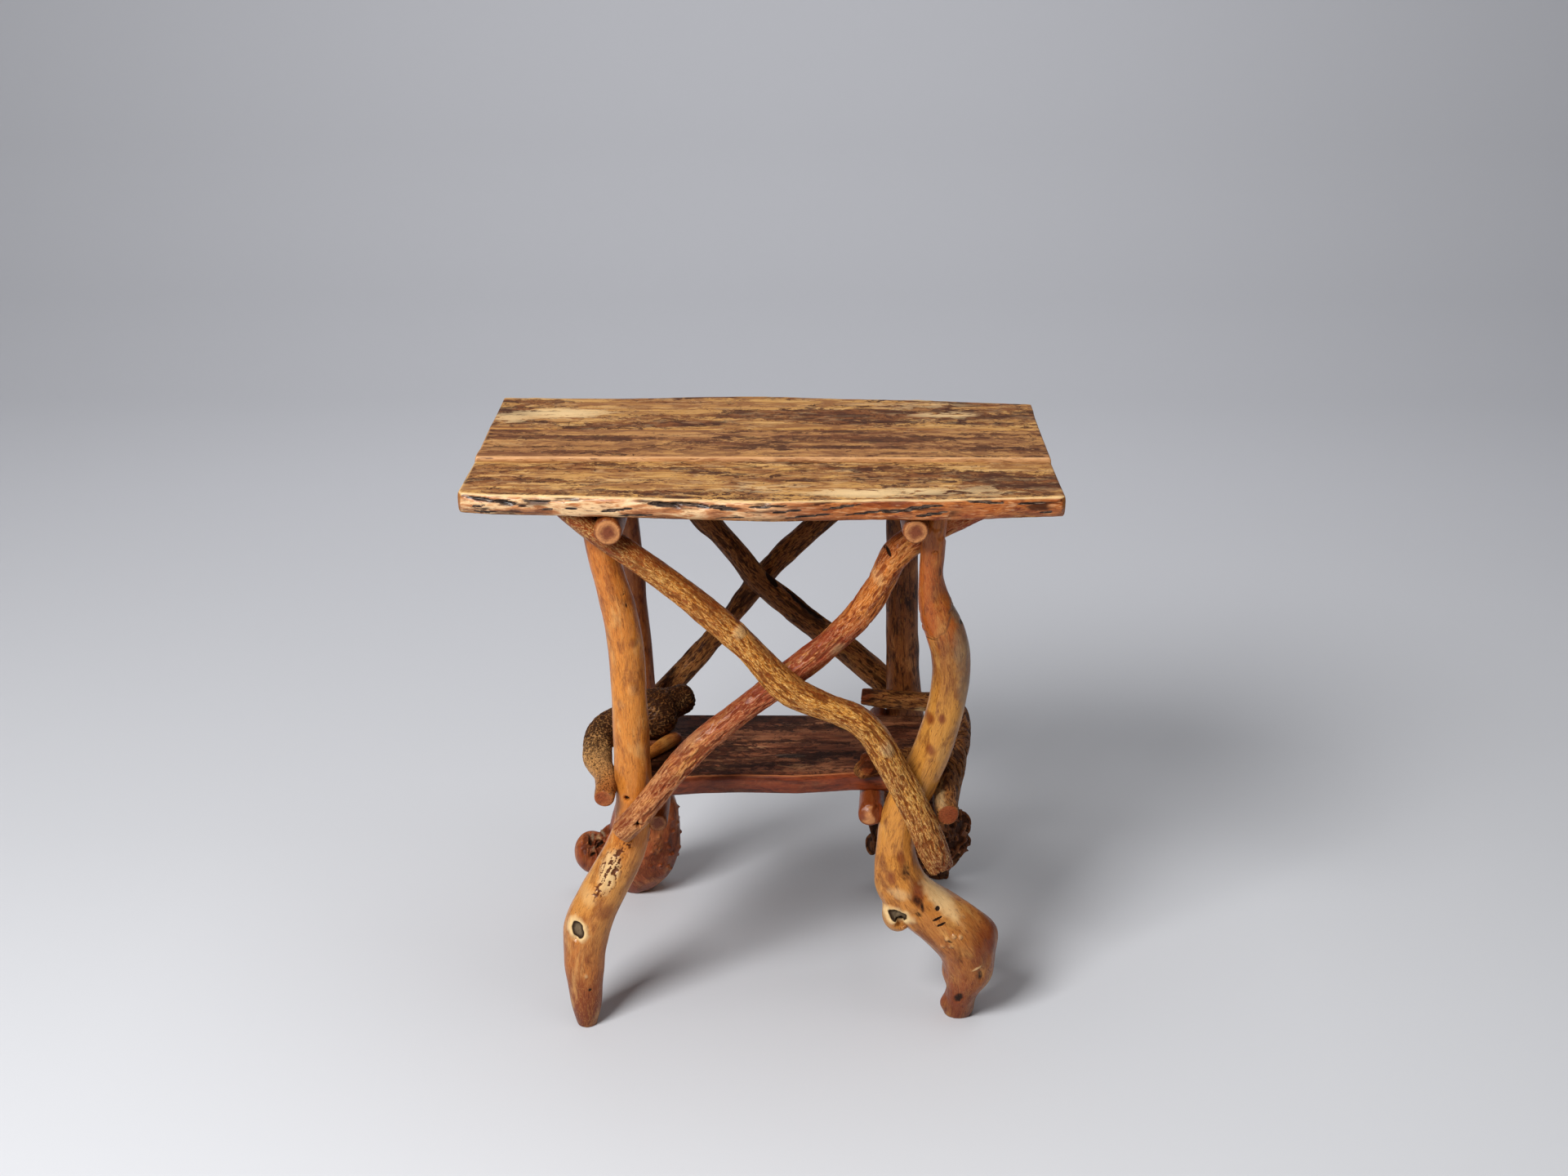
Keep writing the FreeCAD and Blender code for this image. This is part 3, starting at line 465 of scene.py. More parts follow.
amber = limb_finish(
    "amber_limb",
    stops((0.0, (150, 76, 30)), (0.1, (200, 114, 42)), (0.35, (218, 136, 54)), (0.62, (200, 118, 46)),
          (0.72, (214, 146, 72)), (0.86, (186, 108, 48)), (0.93, (138, 66, 32)), (1.0, (114, 52, 26))),
    (tint(130, 62, 26), 0.6, tint(240, 182, 108), 0.5), (tint(92, 42, 18), 260, 50, 0.13, 0.4),
    (tint(232, 170, 90), 0.2, 0.95), (tint(176, 82, 44), tint(196, 104, 54)), (0.0, 0.32, 0.13))
hooked = limb_finish(
    "hooked_limb",
    stops((0.0, (170, 92, 38)), (0.2, (180, 90, 30)), (0.27, (150, 88, 38)), (0.36, (202, 138, 58)),
          (0.6, (208, 138, 58)), (0.72, (194, 124, 56)), (0.86, (162, 92, 44)), (0.93, (148, 76, 38)),
          (1.0, (120, 58, 34))),
    (tint(116, 58, 28), 0.7, tint(222, 164, 88), 0.5), (tint(104, 50, 22), 260, 50, 0.12, 0.5),
    (tint(212, 160, 84), 0.15, 0.6), (tint(150, 76, 36), tint(170, 92, 44)), (0.0, 0.32, 0.13))
flecked = limb_finish(
    "flecked_limb",
    stops((0.0, (160, 76, 36)), (0.1, (178, 92, 40)), (0.22, (220, 134, 50)), (0.6, (232, 154, 62)),
          (0.82, (228, 154, 66)), (0.94, (190, 110, 50)), (1.0, (140, 66, 34))),
    (tint(150, 74, 30), 0.55, tint(240, 180, 96), 0.6), (tint(128, 60, 22), 430, 100, 0.06, 0.8),
    (tint(250, 204, 124), 0.8, 0.8), (tint(150, 76, 36), tint(170, 90, 44)), (0.02, 0.2, 0.15))
ruddy = limb_finish(
    "ruddy_limb",
    stops((0.0, (198, 132, 80)), (0.2, (192, 112, 66)), (0.4, (168, 80, 46)), (0.58, (160, 66, 32)),
          (0.66, (208, 122, 50)), (0.84, (196, 104, 44)), (0.93, (156, 62, 26)), (1.0, (164, 84, 44))),
    (tint(118, 40, 18), 0.85, tint(240, 168, 84), 0.75), (tint(116, 42, 16), 340, 80, 0.075, 0.5),
    (tint(246, 190, 132), 0.35, 0.75), (tint(120, 54, 34), tint(160, 86, 50)), (0.04, 0.12, 0.18))
root_red = limb_finish(
    "root_limb",
    stops((0.0, (130, 68, 30)), (0.4, (146, 78, 32)), (0.62, (158, 84, 42)), (0.8, (160, 80, 44)),
          (1.0, (122, 54, 28))),
    (tint(92, 36, 16), 0.75, tint(202, 128, 76), 0.55), (tint(72, 28, 10), 260, 50, 0.12, 0.5),
    (tint(190, 112, 46), 0.1, 0.6), (tint(128, 66, 40), tint(214, 146, 90)), (0.0, 0.2, 0.15))
mottled = limb_finish(
    "mottled_limb",
    stops((0.0, (110, 56, 26)), (0.4, (132, 74, 36)), (0.75, (116, 62, 30)), (1.0, (128, 70, 38))),
    (tint(58, 24, 9), 1.0, tint(196, 128, 74), 0.7), (tint(48, 21, 9), 190, 40, 0.09, 0.7),
    (tint(166, 106, 50), 0.3, 0.8), (tint(96, 50, 24), tint(120, 64, 32)), (0.1, 0.1, 0.2))
dark_bark = limb_finish(
    "dark_bark_limb",
    stops((0.0, (150, 92, 46)), (0.35, (124, 70, 34)), (0.65, (136, 78, 38)), (1.0, (158, 96, 50))),
    (tint(62, 30, 13), 0.7, tint(190, 130, 74), 0.6), (tint(54, 25, 11), 300, 60, 0.07, 0.85),
    (tint(196, 136, 66), 0.5, 0.7), (tint(150, 70, 36), tint(164, 82, 44)), (0.14, 0.05, 0.24))
burl = limb_finish(
    "burl_limb",
    stops((0.0, (176, 100, 48)), (0.12, (208, 142, 76)), (0.34, (228, 172, 108)), (0.5, (150, 102, 62)),
          (0.7, (104, 60, 30)), (1.0, (92, 50, 24))),
    (tint(96, 54, 26), 0.6, tint(224, 172, 110), 0.5), (tint(52, 26, 12), 360, 220, 0.06, 0.8),
    (tint(206, 150, 76), 0.35, 0.9), (tint(170, 84, 44), tint(200, 116, 66)), (0.08, 0.16, 0.2))
print("limb finishes", len(bpy.data.materials))

# %% [markdown]
# ## The finish of the boards
# The top is oiled plank: ochre with long brown streaks, dark smudges of old stain, and
# pale places where it is worn. The streaks run along the boards, so the noise is
# stretched along X. The waney front edge is redder and glossy, with dark crevices, and a
# band of painted highlight runs along the rounded upper arris of each waney side. The low
# shelf is the same kind of board, stained nearly black. The ochre boards also have short
# dark strokes by the front arris, and pale lines on the side.

# %% Waney side of a board
def waney_side(finish, place, sideways, left, right, side_line, extra):
    flow = finish.noise(place, (14, 60, 70), 5, 0.62, 0.5)
    side = finish.node("ShaderNodeValToRGB", {"stops": left}, {0: flow})
    other = finish.node("ShaderNodeValToRGB", {"stops": right}, {0: flow})
    side = finish.blend(finish.mask(sideways + (flow - 0.5) * 0.3, -0.04, 0.1), side, other)
    side = finish.blend(finish.mask(side_line, 0.55, 0.64) * 0.75, side, tint(84, 36, 16))
    pale_line = finish.mask(side_line, 0.45, 0.36) * (extra * 0.4)
    return finish.blend(pale_line, side, tint(240, 190, 138))


# %% Board finish
def board_finish(name, tones, streak, smudge, pale_paint, left, right, rim_highlight_colour, seed, extra=0.0):
    finish = Finish(name)
    place = finish.node("ShaderNodeTexCoord", {}, {}, object_place)
    sideways, forward, _ = finish.split("ShaderNodeSeparateXYZ", place)
    place = finish.node("ShaderNodeVectorMath", {"operation": "ADD"}, {0: place, 1: (seed, seed, 0)})
    groove = finish.attribute("groove", as_number)
    cut = finish.attribute("cut", as_number)
    dark, pale, edge = finish.split("ShaderNodeSeparateColor", finish.attribute("paint", as_colour))
    rim = finish.attribute("paint", as_alpha)
    streak_colour, streak_share = streak
    smudge_colour, smudge_level, smudge_share = smudge
    worn_colour, worn_level = pale_paint

    broad = finish.noise(place, (4, 24, 24), 4, 0.6, 0.4)
    colour = finish.node("ShaderNodeValToRGB", {"stops": tones}, {0: broad})
    grain_line = finish.noise(place, (8, 210, 210), 5, 0.65, 0.2)
    colour = finish.blend(finish.mask(grain_line, 0.48, 0.66) * streak_share, colour, streak_colour)
    colour = finish.blend(finish.mask(grain_line, 0.48, 0.3) * 0.4, colour, worn_colour)
    haze = finish.noise(place, (18, 44, 44), 6, 0.72, 0.9)
    colour = finish.blend(finish.mask(haze, 0.46, 0.58) * 0.7, colour, streak_colour)
    blot = finish.noise(place, (40, 76, 76), 7, 0.74, 1.2)
    patch = finish.noise(place, (5, 26, 26), 3, 0.5, 0.5)
    cover = blot + (patch - 0.5) * 0.95
    blot_mask = finish.mask(cover, smudge_level, smudge_level + 0.05)
    faint = finish.noise(place, (22, 50, 50), 5, 0.6, 0.5)
    stain = finish.blend(finish.mask(faint, 0.42, 0.6), smudge_colour, streak_colour)
    colour = finish.blend(blot_mask * (smudge_share - faint * 0.35), colour, stain)
    flick = finish.noise(place, (95, 170, 170), 5, 0.72, 1.2)
    by_edge = finish.mask(forward, -0.19, -0.215) * extra
    flick_mask = finish.mask(flick + (patch - 0.5) * 0.3 + by_edge * 0.07, 0.56, 0.61)
    colour = finish.blend(flick_mask * 0.9, colour, smudge_colour)
    rub = finish.noise(place, (30, 80, 80), 6, 0.7, 0.8)
    rub_mask = finish.mask(rub + pale * 0.17, worn_level, worn_level + 0.06) * (pale * 0.75 + 0.15)
    colour = finish.blend(rub_mask, colour, worn_colour)

    side_line = finish.noise(place, (45, 340, 420), 4, 0.65, 0.3)
    side = waney_side(finish, place, sideways, left, right, side_line, extra)
    colour = finish.blend(edge, colour, side)
    # Painted highlight along the rounded upper arris
    colour = finish.blend(rim * 0.75, colour, rim_highlight_colour)
    ends = finish.noise(place, (40, 60, 420), 4, 0.6, 0.2)
    end_wood = finish.blend(ends, tint(104, 53, 19), tint(196, 124, 49))
    colour = finish.blend(cut * 0.85, colour, end_wood)
    colour = finish.blend(groove * 0.9, colour, tint(58, 26, 12))
    inside = finish.noise(place, (60, 500, 700), 4, 0.7)
    hollow = finish.blend(finish.mask(inside, 0.46, 0.68), tint(34, 20, 14), tint(140, 112, 92))
    colour = finish.blend(finish.mask(dark, 0.08, 0.35), colour, hollow)

    height = grain_line * 0.5 - blot_mask * 0.3 + side_line * edge * 0.9 + rub * 0.2
    roughness = blot_mask * 0.07 + rub_mask * 0.1 - edge * 0.1 + 0.5
    return finish.shine(colour, roughness, edge * 0.4, 0.25, height, board_bump)


# %% [markdown]
# ## Three board colours
# A row holds the main colours, then the streaks with their share, the smudges with the
# level where they begin and their share, and the worn colour with its level. The side has
# colours for its left and its right half, and one for the painted highlight on its rim.

# %% Colours of the boards
edge_cream = stops((0.36, (140, 80, 44)), (0.46, (200, 132, 82)),
                   (0.54, (242, 202, 152)), (0.64, (190, 122, 72)))
edge_orange = stops((0.36, (104, 42, 18)), (0.46, (150, 74, 32)),
                    (0.55, (190, 112, 56)), (0.66, (122, 52, 22)))
edge_tan = stops((0.36, (164, 108, 66)), (0.5, (216, 162, 110)), (0.62, (196, 140, 88)))
edge_stained = stops((0.34, (64, 26, 12)), (0.45, (108, 44, 20)),
                     (0.56, (134, 60, 28)), (0.68, (84, 34, 16)))
ochre = board_finish(
    "ochre_board",
    stops((0.3, (154, 102, 54)), (0.42, (188, 134, 72)), (0.54, (206, 154, 84)), (0.68, (166, 112, 58))),
    (tint(126, 72, 36), 0.65), (tint(70, 34, 17), 0.5, 1.1), (tint(242, 206, 152), 0.53),
    edge_cream, edge_orange, tint(250, 212, 152), 0.0, extra=1.0)
brown = board_finish(
    "brown_board",
    stops((0.3, (142, 92, 52)), (0.42, (170, 116, 66)), (0.54, (192, 138, 78)), (0.68, (152, 100, 54))),
    (tint(112, 64, 36), 0.65), (tint(72, 38, 22), 0.5, 1.05), (tint(224, 178, 118), 0.58),
    edge_tan, edge_tan, tint(224, 172, 118), 3.7)
shelf_dark = board_finish(
    "stained_board",
    stops((0.3, (94, 46, 26)), (0.45, (128, 68, 40)), (0.58, (172, 110, 72)), (0.72, (112, 56, 32))),
    (tint(66, 30, 15), 0.5), (tint(38, 17, 8), 0.51, 1.0), (tint(206, 150, 106), 0.57),
    edge_stained, edge_stained, tint(206, 126, 78), 7.1)
print("finishes so far", len(bpy.data.materials))

# %% [markdown]
# ## Old steel
# Only the tips of two wood screws and one nail are steel. Years of varnish have turned
# them brown, so the metal is dark, with a bloom of rust in a fine noise.

# %% Steel finish
steel = Finish("aged_steel")
spot = steel.node("ShaderNodeTexCoord", {}, {}, object_place)
rust = steel.noise(spot, (700, 700, 700), 4)
rusted = steel.mask(rust, 0.45, 0.65)
steel_colour = steel.blend(rusted, tint(96, 88, 80), tint(70, 42, 28))
steel_bump = steel.node("ShaderNodeBump", {}, {"Distance": 0.0002, "Height": rust})
steel_shader = steel.node("ShaderNodeBsdfPrincipled", {}, {
    "Base Color": steel_colour, "Metallic": 1.0 - rusted * 0.8,
    "Roughness": rust * 0.4 + 0.35, "Normal": steel_bump})
steel.node("ShaderNodeOutputMaterial", {}, {"Surface": steel_shader})
for name in ("wood_screws", "bearer_nail"):
    nodes[name].data.materials.clear()
    nodes[name].data.materials.append(steel.material)

# %% [markdown]
# ## Dress the limbs
# Each call names a solid, the way its middle line runs, its finish and the height of its
# lumps. The groove row holds the pattern, its size across and along the grain, its depth,
# and its share along the limb. The marks and pushes come from the photograph.
#
# Remeshing and smoothing take a little off a round limb, so the skin is lifted by as
# much. With one more setting, the sides that face up are painted dark red, partly as bark
# left on them and partly as painted shade.

# %% Hand a finished skin over
def hand_over(look, node, finish):
    look.data.materials.append(finish)
    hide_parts(node)
    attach(look, "root")
    print(node, len(look.data.polygons), "quads")


# %% Relief of one limb
skin_lift = 0.0012
middle_slices = 24


def dress_limb(node, toward, upright, finish, lumps, groove, marks, pushes, seed,
               quad=0.0016, red_top_bark_and_shade=0.0):
    look = skin_of(node, quad, 2, 3)
    write_points(look, sculpt(read(look, "co"), read(look, "normal"), pushes))
    points = read(look, "co")
    normals = read(look, "normal")
    grain, along, tangent = grain_of(points, toward, middle_slices, upright)
    # A saw cut is skin that faces along the limb, close to either end
    end_on = np.abs((normals * tangent).sum(1))
    near_end = step_up(np.abs(along - 0.5), 0.46, 0.485)
    cut = step_up(end_on, 0.72, 0.9) * near_end
    pattern, across, length, depth, cover = groove
    lift, paint = stamp(points, normals, marks)
    # Sides that face up are painted dark red: bark left on top and painted shade
    facing_up = normals[:, 2] + bumps(grain, (0.012, 0.012, 0.04), seed + 9) * 0.25
    paint[:, 2] = np.maximum(paint[:, 2], step_up(facing_up, 0.35, 0.8) * red_top_bark_and_shade)
    share = np.maximum(np.interp(along, *zip(*cover)), paint[:, 4])
    bark = grooves_of(grain, pattern, across, length, seed + 2) * share
    rise = bumps(grain, (0.030, 0.030, 0.055), seed) * lumps * 0.6
    rise += bumps(grain, (0.013, 0.013, 0.026), seed + 1) * lumps * 0.4
    small = bumps(grain, (across, across, length * 0.6), seed + 8)
    rise += small * depth * 0.25 * np.minimum(share, 1.0)
    rise = (rise - bark * depth + skin_lift) * (1.0 - cut * 0.9) + lift
    points = points + normals * rise[:, None]
    points[:, 2] = np.maximum(points[:, 2], 0.0)
    write_points(look, points)
    keep_attribute(look, "grain", "FLOAT_VECTOR", grain)
    keep_attribute(look, "along", "FLOAT", along)
    keep_attribute(look, "groove", "FLOAT", bark * (1.0 - cut))
    keep_attribute(look, "cut", "FLOAT", cut)
    keep_attribute(look, "paint", "FLOAT_COLOR", paint[:, :4])
    hand_over(look, node, finish)


down = (0, 0, -1)
front = (0, -1, 0)
upward = (0, 0, 1)
everywhere = ((0, 1), (1, 1))
nowhere = ((0, 0), (1, 0))

# %% [markdown]
# ## The four legs
# Each leg is peeled and nearly smooth. The left one has a healed knot like an eye below
# its knee, and a patch of worm-worn bark above it. The right one swells into a hooked
# foot with a knot hole, warts and two chisel cuts. The rear left foot is a root ball
# studded with thorns.

# %% The front left leg
left_marks = knot(-241, 148, 8, 12, 5, 1.8, 2.4) + [
    # The pale oval at -199, 224 is pale bark, made paler still as a painted highlight
    ("worm", -197, 226, 17, 42, -18, 0.6, 2.0), ("pale", -199, 224, 15, 36, -18, 0.6, 1.0),
    ("worm", -178, 262, 12, 22, 0, 0.3, 1.2), ("worm", -214, 196, 12, 16, 0, 0.3, 1.0),
    # The red mark at -205, 170 is a band of painted shade to the right of the knee
    ("pale", -226, 190, 14, 16, 0, 0.6, 0.35), ("red", -205, 170, 12, 16, -40, -0.4, 0.7),
    ("pale", -232, 81, 3, 4, 0, 0.8, 0.5), ("pale", -166, 474, 7, 11, 0, 1.3, 0.12),
    ("red", -164, 536, 6, 9, 10, 0.8, 0.6), ("dark", -171, 587, 1.6, 5, 10, -0.3, 0.5),
    ("dark", -174, 602, 2, 2, 0, -0.3, 0.5), ("grey", -180, 453, 6, 8, 0, 0.3, 0.3),
    ("dark", -228, 60, 3, 4, 0, -0.3, 0.5)]
dress_limb("leg_front_left", down, front, amber, 0.0014,
           ("lines", 0.0030, 0.0085, 0.0014, nowhere), left_marks,
           [(-262, -190, 150, 50, -3, 0, 0, 0), (-250, -190, 90, 40, -1, 0, 0, 0)], 11)

# %% The front right leg
right_marks = knot(179, 161, 13, 9, -12, 1.4, 6.0) + [
    ("ledge", 214, 625, 25, 76, 4, 1.3, 0.25), ("dark", 214, 548, 12, 1.4, 0, -0.5, 0.45),
    ("grey", 254, 541, 16, 56, 0, 0, 0.7), ("grey", 262, 460, 14, 70, 10, 0, 0.7),
    ("grey", 244, 585, 10, 24, 20, 0, 0.8), ("dark", 251, 568, 2.5, 5, 20, -0.8, 1.0),
    ("dark", 221, 640, 2, 12, 0, -0.3, 0.4), ("red", 217, 433, 7, 12, 0, -0.2, 1.0),
    ("red", 231, 436, 6, 9, 0, -0.2, 1.0), ("red", 218, 392, 7, 12, 20, -0.2, 0.9),
    ("red", 182, 240, 7, 14, 10, -0.3, 0.9), ("red", 170, 214, 8, 12, 0, -0.3, 0.9),
    ("red", 205, 196, 12, 20, 0, -0.6, 1.0), ("dark", 203, 186, 8, 12, 30, -0.4, 0.4),
    ("dark", 206, 168, 5, 10, 60, -0.5, 0.4), ("pale", 180, 194, 18, 10, -10, 0.4, 0.45),
    # The long pale oval at 234, 184 is a painted highlight across the hook
    ("pale", 234, 184, 46, 13, -44, 0.3, 0.85), ("dark", 188, 222, 10, 20, 0, 0, 0.36),
    ("dark", 210, 178, 4, 14, 8, -0.3, 0.42), ("dark", 262, 110, 4, 26, 10, -0.3, 0.33),
    ("dark", 230, 175, 4, 4, 0, -0.6, 0.9), ("dark", 230, 163, 8, 1.6, 25, -0.8, 1.5),
    ("dark", 235, 156, 8, 1.6, 25, -0.8, 1.5), ("pale", 243, 137, 4, 4, 0, 2.4, 0.3),
    ("pale", 252, 141, 4, 4, 0, 2.4, 0.35), ("pale", 260, 140, 3.5, 4, 0, 2.2, 0.35),
    ("pale", 238, 126, 4, 3.5, 0, 2.4, 0.2), ("pale", 249, 127, 4.5, 3.5, 0, 2.0, 0.2),
    ("dark", 247, 133, 7, 2, -10, -0.6, 0.5), ("red", 302, 130, 12, 34, -12, -0.4, 0.9),
    ("red", 290, 120, 16, 40, -12, 0, 0.7), ("dark", 288, 80, 6, 14, 10, -0.4, 0.4),
    ("pale", 283, 92, 9, 2, 30, 0.8, 0.8), ("dark", 262, 40, 8, 14, -20, -0.4, 0.5),
    ("red", 256, 30, 22, 34, 0, 0, 0.7)]
dress_limb("leg_front_right", down, front, hooked, 0.0020,
           ("grooves", 0.0030, 0.010, 0.0003, ((0, 0), (0.62, 0), (0.7, 0.2), (1, 0.4))),
           right_marks,
           [(308, -175, 138, 42, 10, 0, 2, 0), (290, -180, 175, 28, 3, 0, 4, 0),
            (300, -180, 36, 38, -9, 0, 0, 0), (238, -172, 66, 20, -7, 0, 0, 0),
            (241, -172, 43, 14, 9, 0, 0, 0), (236, -172, 18, 20, -11, 0, 0, 0),
            (150, -185, 192, 34, -5, 0, 0, 0), (146, -185, 228, 34, -3, 0, 0, 0),
            (178, -188, 150, 30, 2, 0, -1, 0)], 23, quad=0.0015)

# %% The rear legs
thorns = [("red", x, z, 3.2, 3.2, 0, 3.6, 0.2) for x, z in (
    (-157, 109), (-161, 92), (-142, 86), (-166, 85), (-136, 110), (-156, 59), (-138, 72), (-169, 61),
    (-150, 126), (-145, 52), (-172, 108), (-178, 78))]
rough_knob = [
    ("worm", -250, 84, 34, 32, 0, -1.0, 1.6), ("dark", -256, 88, 17, 15, 0, -2.5, 0.3),
    ("pale", -264, 96, 5, 3, 30, 3.0, 0.5), ("pale", -248, 90, 5, 3, -20, 3.0, 0.4),
    ("pale", -256, 74, 4, 5, 0, 2.4, 0.3), ("dark", -262, 88, 2.6, 9, 24, -3.2, 0.9),
    ("dark", -253, 101, 8, 2.4, -14, -3.0, 0.9), ("dark", -247, 82, 2.4, 8, -22, -3.4, 0.9),
    ("dark", -256, 68, 7, 2.4, 30, -3.0, 0.9), ("grey", -257, 92, 3.4, 6, 16, 2.6, 0.9),
    ("grey", -243, 96, 5, 3, -30, 2.6, 0.9), ("grey", -254, 79, 5, 2.6, 40, 2.2, 0.8),
    ("grey", -242, 72, 3, 6, -10, 2.2, 0.7)]
dress_limb("leg_rear_left", down, front, root_red, 0.0018,
           ("pits", 0.0055, 0.008, 0.0030, nowhere), thorns + rough_knob,
           [(-130, 150, 140, 34, 6, 0, 0, 0)], 37, quad=0.0017)
dress_limb("leg_rear_right", down, front, mottled, 0.0018,
           ("pits", 0.012, 0.012, 0.0055, ((0, 0), (0.62, 0), (0.7, 0.9), (0.92, 1), (1, 0.4))),
           [], [], 41)

# %% [markdown]
# ## The braces
# The two front braces cross between the legs. The upper one keeps a net of bark flecks
# over gold wood, and the lower one is red-brown with hammered dimples. The rear pair is
# darker, and one of the two has split open.

# %% The braces, front and back
dress_limb("brace_front_upper", (1, 0, -1), front, flecked, 0.0026,
           ("grooves", 0.0021, 0.011, 0.0013, ((0, 0.4), (0.3, 0.7), (0.55, 1), (1, 1))), [
               # The pale mark at -28, 564 is a painted highlight on a raised knuckle
               ("pale", -28, 564, 10, 9, -30, 2.4, 0.6), ("pale", 159, 409, 11, 14, 30, 1.6, 0.5),
               ("red", 159, 409, 7, 10, 30, 0.6, 0.9), ("red", -193, 675, 30, 20, 0, 0, 0.5),
               ("red", 234, 236, 16, 12, 0, -0.6, 0.5)],
           [(236, -212, 226, 22, -4, 0, 4, 0)], 53, quad=0.00113, red_top_bark_and_shade=0.7)
dress_limb("brace_front_lower", (1, 0, 1), front, ruddy, 0.0030,
           ("grooves", 0.0028, 0.012, 0.0014, ((0, 0.8), (0.55, 1.0), (0.7, 0.7), (1, 0.6))), [
               ("dark", 160, 657, 3, 7, 25, -1.2, 0.8), ("dark", 154, 662, 2, 5, 35, -0.6, 0.7),
               # The pale marks at 96, -91 and -134 are painted highlights along the brace; the one at 146
               # is a golden patch
               ("pale", 146, 625, 9, 14, 30, 0.3, 0.3), ("pale", 96, 532, 14, 9, 40, 0.3, 0.3),
               ("pale", -91, 408, 30, 7, 40, 0.2, 0.15), ("pale", -134, 364, 26, 8, 45, 0.2, 0.15)],
           [], 67, quad=0.0011, red_top_bark_and_shade=0.45)
dress_limb("brace_rear_near", (1, 0, -1), front, dark_bark, 0.0034,
           ("grooves", 0.0036, 0.024, 0.0014, everywhere), [
               ("dark", 52, 462, 52, 5.5, -41, -7, 1.2), ("dark", 10, 494, 16, 3.5, -50, -5, 1.2),
               ("dark", 30, 490, 20, 3, -40, -2, 0.7), ("red", 110, 400, 30, 8, -42, 0, 0.6)],
           [], 71, quad=0.0014)
dress_limb("brace_rear_far", (-1, 0, -1), front, dark_bark, 0.0030,
           ("grooves", 0.0034, 0.016, 0.0009, everywhere), [], [], 83, quad=0.0014)

# %% [markdown]
# ## Stretchers, peg and bearers
# The stretchers are root burls with a tight net of bark. Their front ends were peeled
# and sawn. The bearers are plain pegs of red wood that show only their round ends.

# %% Stretchers, peg and bearers
dress_limb("stretcher_left", (0.5, 0.87, 0), upward, burl, 0.0022,
           ("pits", 0.0026, 0.0036, 0.0009, ((0, 0), (0.12, 0.1), (0.3, 0.4), (0.45, 0.85), (1, 0.95))), [],
           [(-232, -105, 352, 42, -6, 0, 0, 0)], 97, quad=0.0011)
dress_limb("stretcher_right", (-0.6, 0.8, 0), upward, dark_bark, 0.0016,
           ("grooves", 0.0038, 0.016, 0.0013, ((0, 0.1), (0.1, 0.6), (0.2, 1), (1, 1))), [
               ("red", 140, 348, 18, 18, 0, 1.0, 1.0), ("pale", 224, 322, 16, 13, 0, 0, 0.8)],
           [(138, -118, 342, 28, -1, 0, 2, 5.0)], 101, quad=0.0012)
plain = ("grooves", 0.004, 0.02, 0.0001, ((0, 0.2), (1, 0.2)))
dress_limb("shelf_peg", (1, 2, 0), upward, amber, 0.0004, plain, [],
           [(-120, -50, 342, 44, 0, 0, 2, 3.0)], 103, quad=0.0012)
for seed, node in enumerate(("top_bearer_left", "top_bearer_right", "shelf_bearer_left")):
    dress_limb(node, (0, 1, 0), upward, root_red, 0.0007, plain, [], [], 107 + seed * 4)
dress_limb("shelf_bearer_right", (1, 0, 0), upward, root_red, 0.0012, plain,
           [("red", 142, 292, 32, 30, 0, 0.0, 0.75)],
           [(141, -160, 291, 26, -1, -9, -1, 0), (153, -162, 298, 13, 0, 5, 0, -3),
            (136, -160, 300, 12, 0, 3, 0, -1)], 121)

# %% [markdown]
# ## Dress the boards
# The flat faces stay flat, so all the relief goes to the waney edges. Crevices are long
# lenses: a few are listed one by one, and the fine ones come from a stretched noise. Worn
# places on the flat faces are ovals of paint. A depth of zero leaves the edge smooth.

# %% Relief of one board
def dress_board(node, finish, front_side, crevices, spots, depth, seed):
    look = skin_of(node, 0.0021, 0, 2)
    points = read(look, "co")
    normals = read(look, "normal")
    facing = -normals[:, 1] if front_side else normals[:, 1]
    edge = step_up(facing, 0.35, 0.7)
    # The rim is the rounded upper arris, where a highlight is painted
    arris = np.maximum(facing, -normals[:, 0] * front_side)
    rim = step_up(arris, 0.15, 0.45) * (1.0 - step_up(arris, 0.55, 0.8))
    rim = rim * step_up(normals[:, 2], 0.3, 0.6)
    cut = step_up(np.abs(normals[:, 0]), 0.6, 0.85)
    wave = bumps(points, (0.055, 1.0, 0.012), seed) * 0.0018
    wave += bumps(points, (0.020, 1.0, 0.005), seed + 1) * 0.0011
    slanted = points + wave[:, None] * 1.5 + points[:, :1] * np.array([0.0, 0.0, -0.06])
    crack = bumps(slanted, (0.034, 1.0, 0.0034), seed + 2)
    open_part = step_up(bumps(points, (0.05, 1.0, 0.014), seed + 3), -0.35, 0.1)
    crack = step_up(crack, 0.28, 0.6) * open_part * step_up(facing, 0.55, 0.8)
    rise = edge * (wave - crack * depth) * (depth > 0) - 0.0003 * cut
    paint = np.zeros((len(points), 4))
    ragged = 1.0 + bumps(points, (0.009, 1.0, 0.003), seed + 4) * 0.35
    for x, z, wide, tall, turn, sink in crevices:
        near = np.clip(1.0 - oval(points, x, z, wide, tall, turn) * ragged, 0.0, 1.0)
        near = near ** 0.6 * step_up(facing, 0.3, 0.5)
        rise -= near * sink / 1000
        paint[:, 0] = np.maximum(paint[:, 0], near)
    for kind, x, y, wide, tall, strength in spots:
        away = ((points[:, 0] * 1000 - x) / wide) ** 2 + ((points[:, 1] * 1000 - y) / tall) ** 2
        channel = channels[kind]
        paint[:, channel] = np.maximum(paint[:, channel], np.clip(1.0 - away, 0.0, 1.0) * strength)
    paint[:, 2] = edge * (1.0 - np.clip(-wave * 160, 0.0, 0.25))
    paint[:, 3] = rim
    write_points(look, points + normals * rise[:, None])
    keep_attribute(look, "groove", "FLOAT", crack * (depth > 0))
    keep_attribute(look, "cut", "FLOAT", cut)
    keep_attribute(look, "paint", "FLOAT_COLOR", paint)
    hand_over(look, node, finish)


